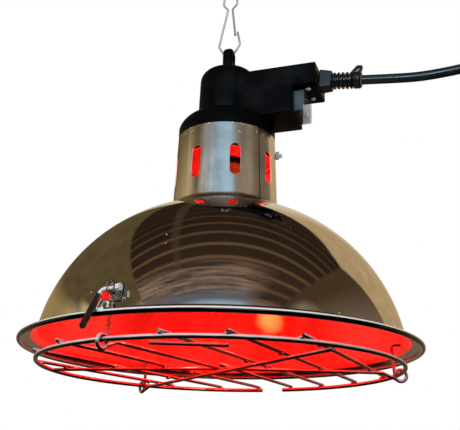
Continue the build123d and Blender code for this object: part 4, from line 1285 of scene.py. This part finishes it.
def studio_colour(finish):
    """The colour of the studio in every direction."""
    direction = finish.node("TexCoord", output="Generated")
    height = direction.part(2)
    rise = height.at_least(0.03)
    across = direction.along(level_right) / rise
    back = direction.along(level_back) / rise
    sideways = across / abs(back).at_least(0.05)
    spot = finish.node("CombineXYZ", None, {0: across, 1: back, 2: 0.0})
    grain = spot.stretched((1.4, 15.0, 1.0)).noise(1.0, 4.0, 0.65)
    patch = spot.noise(3.4, 5.0, 0.55)

    count = finish.maths("LOGARITHM", ((back + 0.28) / 1.154 + 1).at_least(0.05), 1.13)
    slat = finish.maths("PINGPONG", count, 0.5).ramp(0.15, 0.07)
    slat_light = back.ramp(-0.45, 0.3, 0.12, 1.0)
    beam = abs(across + back * 0.2 + 0.34).ramp(0.045, 0.02)
    loft = grain.ramp(0.4, 0.6).mix((0.05, 0.034, 0.025), (0.32, 0.215, 0.15))
    loft = back.ramp(0.95, 1.3).mix(loft, (0.13, 0.135, 0.165))
    studio = layered(
        patch.mix((0.012, 0.008, 0.005), (0.036, 0.022, 0.013)),
        (back.ramp(-0.1, 0.4) * 0.5, (0.05, 0.031, 0.019)),
        (slat * slat_light, (0.155, 0.085, 0.044)),
        (beam * 0.45, (0.09, 0.055, 0.03)),
        (back.ramp(0.45, 0.68) * across.ramp(0.6, 0.25, 0.05, 1.0), loft),
    )

    left = (across + back * 0.45) * -1.25
    far = across * 0.7 - back - (across - 0.8).at_least(0.0) * 0.35
    side = across * 1.02
    near = back / 1.33
    left_low = back.ramp(-1.2, 0.0).mix((0.34, 0.24, 0.10), (0.62, 0.48, 0.28))
    left_low = back.ramp(0.6, 1.3).mix(left_low, (0.62, 0.62, 0.6))
    low_share = left.ramp(2.65, 3.3).at_least(back.ramp(0.9, 1.35))
    low_share = low_share.at_least(left.ramp(2.4, 2.7) * back.ramp(-0.5, -0.2))
    left_board = patch.mix((0.06, 0.04, 0.015), (0.16, 0.116, 0.056))
    left_board = low_share.mix(left_board, left_low)
    far_board = layered(
        sideways.ramp(-0.8, 0.5).mix((0.17, 0.12, 0.06), (0.46, 0.32, 0.16)),
        (patch.ramp(0.4, 0.7) * 0.5, (0.62, 0.48, 0.30)),
        (abs(sideways - 0.05).ramp(0.42, 0.15), (0.68, 0.58, 0.43)),
    )
    side_board = layered(
        patch.mix((0.05, 0.031, 0.015), (0.09, 0.056, 0.028)),
        (side.ramp(1.3, 2.2), (0.17, 0.125, 0.085)),
        (side.ramp(1.1, 1.3) * back.ramp(0.7, 1.1), (0.32, 0.25, 0.18)),
    )
    screen = sideways.ramp(-1.5, -1.1) * sideways.ramp(0.36, 0.2) * back.ramp(1.36, 1.5)
    screen_light = sideways.ramp(-1.1, -0.3).mix((0.64, 0.64, 0.61), (0.38, 0.57, 0.72))
    near_board = sideways.ramp(0.15, 0.6).mix((0.14, 0.15, 0.175), (0.26, 0.195, 0.135))
    near_board = screen.mix(near_board, screen_light)

    dark_foot = height.ramp(0.36, 0.28) * back.ramp(-0.3, 0.3)
    outermost = 1.0
    boards = (near, near_board), (side, side_board), (left, left_board), (far, far_board)
    for edge, board in boards:
        over = (edge - outermost).ramp(-0.02, 0.02)
        if board is not far_board:
            board = dark_foot.mix(board, (0.03, 0.026, 0.022))
        studio = over.mix(studio, board)
        outermost = edge.at_least(outermost)

    strip = height.ramp(0.12, 0.15) * height.ramp(0.32, 0.29) * back.ramp(0.5, 1.0)
    strip = strip * sideways.ramp(-0.22, -0.08) * sideways.ramp(0.55, 0.42)
    far_ground = back.ramp(1.0, -3.0) * height.ramp(-0.5, -0.36)
    ground = far_ground.mix((0.007, 0.005, 0.004), (0.17, 0.125, 0.085))
    return layered(studio, (strip, (1.6, 2.0, 2.25)), (height.ramp(0.02, -0.06), ground))


def make_world():
    """White to the eye, a studio to everything else."""
    world = bpy.data.worlds.new("studio")
    bpy.context.scene.world = world
    finish = Finish("studio", world)
    seen = finish.node("Background", None, {"Color": (1, 1, 1), "Strength": 1.0})
    lit = finish.node("Background", None, {"Color": studio_colour(finish), "Strength": 1.0})
    eye = finish.node("LightPath", output="Is Camera Ray")
    both = finish.node("MixShader", None, {0: eye, 1: lit, 2: seen})
    finish.node("OutputWorld", None, {"Surface": both})


def add_light(kind, name, place, power, tint):
    """A light that is kept out of the picture and out of the metal's reflections."""
    start_clean()
    bpy.ops.object.light_add(type=kind, location=place)
    light = bpy.context.object
    light.name = name
    light.data.energy = power
    light.data.color = tint
    light.visible_camera = False
    light.visible_glossy = False
    return light


def aim(light, target):
    """Turns a light towards a point."""
    light.rotation_euler = (target - light.location).to_track_quat("-Z", "Y").to_euler()


def soft_light(name, place, target, size, power, tint):
    """A soft square light that looks at a point."""
    light = add_light("AREA", name, place, power, tint)
    light.data.size = size
    aim(light, target)
    return light


def glow_light(name, kind, place, power, radius, tint):
    """A small light that stands for the bulb's glow."""
    light = add_light(kind, name, place, power, tint)
    light.data.shadow_soft_size = radius
    return light


make_world()
lamp_middle = at(0, 0, 120)
daylight_place = camera_place + Vector((-0.7, -0.9, 0.75))
fill_place = camera_place + 0.7 * level_right + Vector((0, 0, 0.35))
sky_place = lamp_middle + Vector((-0.6, 0.5, 1.6))
soft_light("window", daylight_place, lamp_middle, 0.9, 28, (0.9, 0.95, 1.0))
soft_light("fill", fill_place, lamp_middle, 0.5, 4, (1.0, 0.97, 0.93))
soft_light("sky", sky_place, lamp_middle, 1.2, 8, (1.0, 0.96, 0.9))

sheen_height = radians(-16)
lead_seen = cord_exit + Vector((60, 0, -5)) * mm
lead_along = Vector((1, -0.03, 0)).normalized()
to_camera = (camera_place - lead_seen).normalized()
lead_front = (to_camera - to_camera.dot(lead_along) * lead_along).normalized()
shine = Matrix.Rotation(sheen_height, 3, lead_along) @ lead_front
sheen_place = lead_seen + 2 * shine.dot(to_camera) * shine - to_camera
sheen = soft_light("sheen", sheen_place, lead_seen, 0.3, 2.2, (0.55, 0.84, 1.0))
sheen.visible_glossy = True
rubber_pieces = bpy.data.collections.new("rubber_pieces")
for piece in (mains_lead, relief):
    rubber_pieces.objects.link(piece)
sheen.light_linking.receiver_collection = rubber_pieces

red = (1.0, 0.0, 0.001)
glows = [glow_light("bowl_glow", "POINT", at(0, 0, -55), 2.9, 45 * mm, red)]
for number in range(3):
    place = around(radians(80 + 120 * number), 35, 150).translation
    glows.append(glow_light(f"neck_glow_{number}", "POINT", place, 0.06, 9 * mm, red))
filament = glow_light("filament", "POINT", at(10, 6, 50), 0.12, 9 * mm, (1.0, 0.5, 0.3))
filament.visible_glossy = True
filament.visible_diffuse = False
hot_wall = glow_light("hot_wall", "SPOT", at(0, 70, 44), 0.6, 3 * mm, (1.0, 0.5, 0.1))
hot_wall.data.spot_size = radians(27)
hot_wall.data.spot_blend = 1.0
aim(hot_wall, at(4.3, 140.8, 55.9))
for light in (*glows, filament, hot_wall):
    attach(light, "lamp")

floor_size = 6
floor_drop = 1.1
start_clean()
bpy.ops.mesh.primitive_plane_add(size=floor_size, location=(0, 0, rim_z - floor_drop))
floor = bpy.context.object
floor.name = "floor"
floor.visible_glossy = False
floor.visible_diffuse = False
floor.data.materials.append(Finish("pale_floor").surface({
    "Base Color": (0.8, 0.79, 0.77),
    "Roughness": 0.8,
    "Emission Color": (1, 1, 1),
    "Emission Strength": 0.7,
}))
bpy.context.scene.view_settings.view_transform = "Standard"
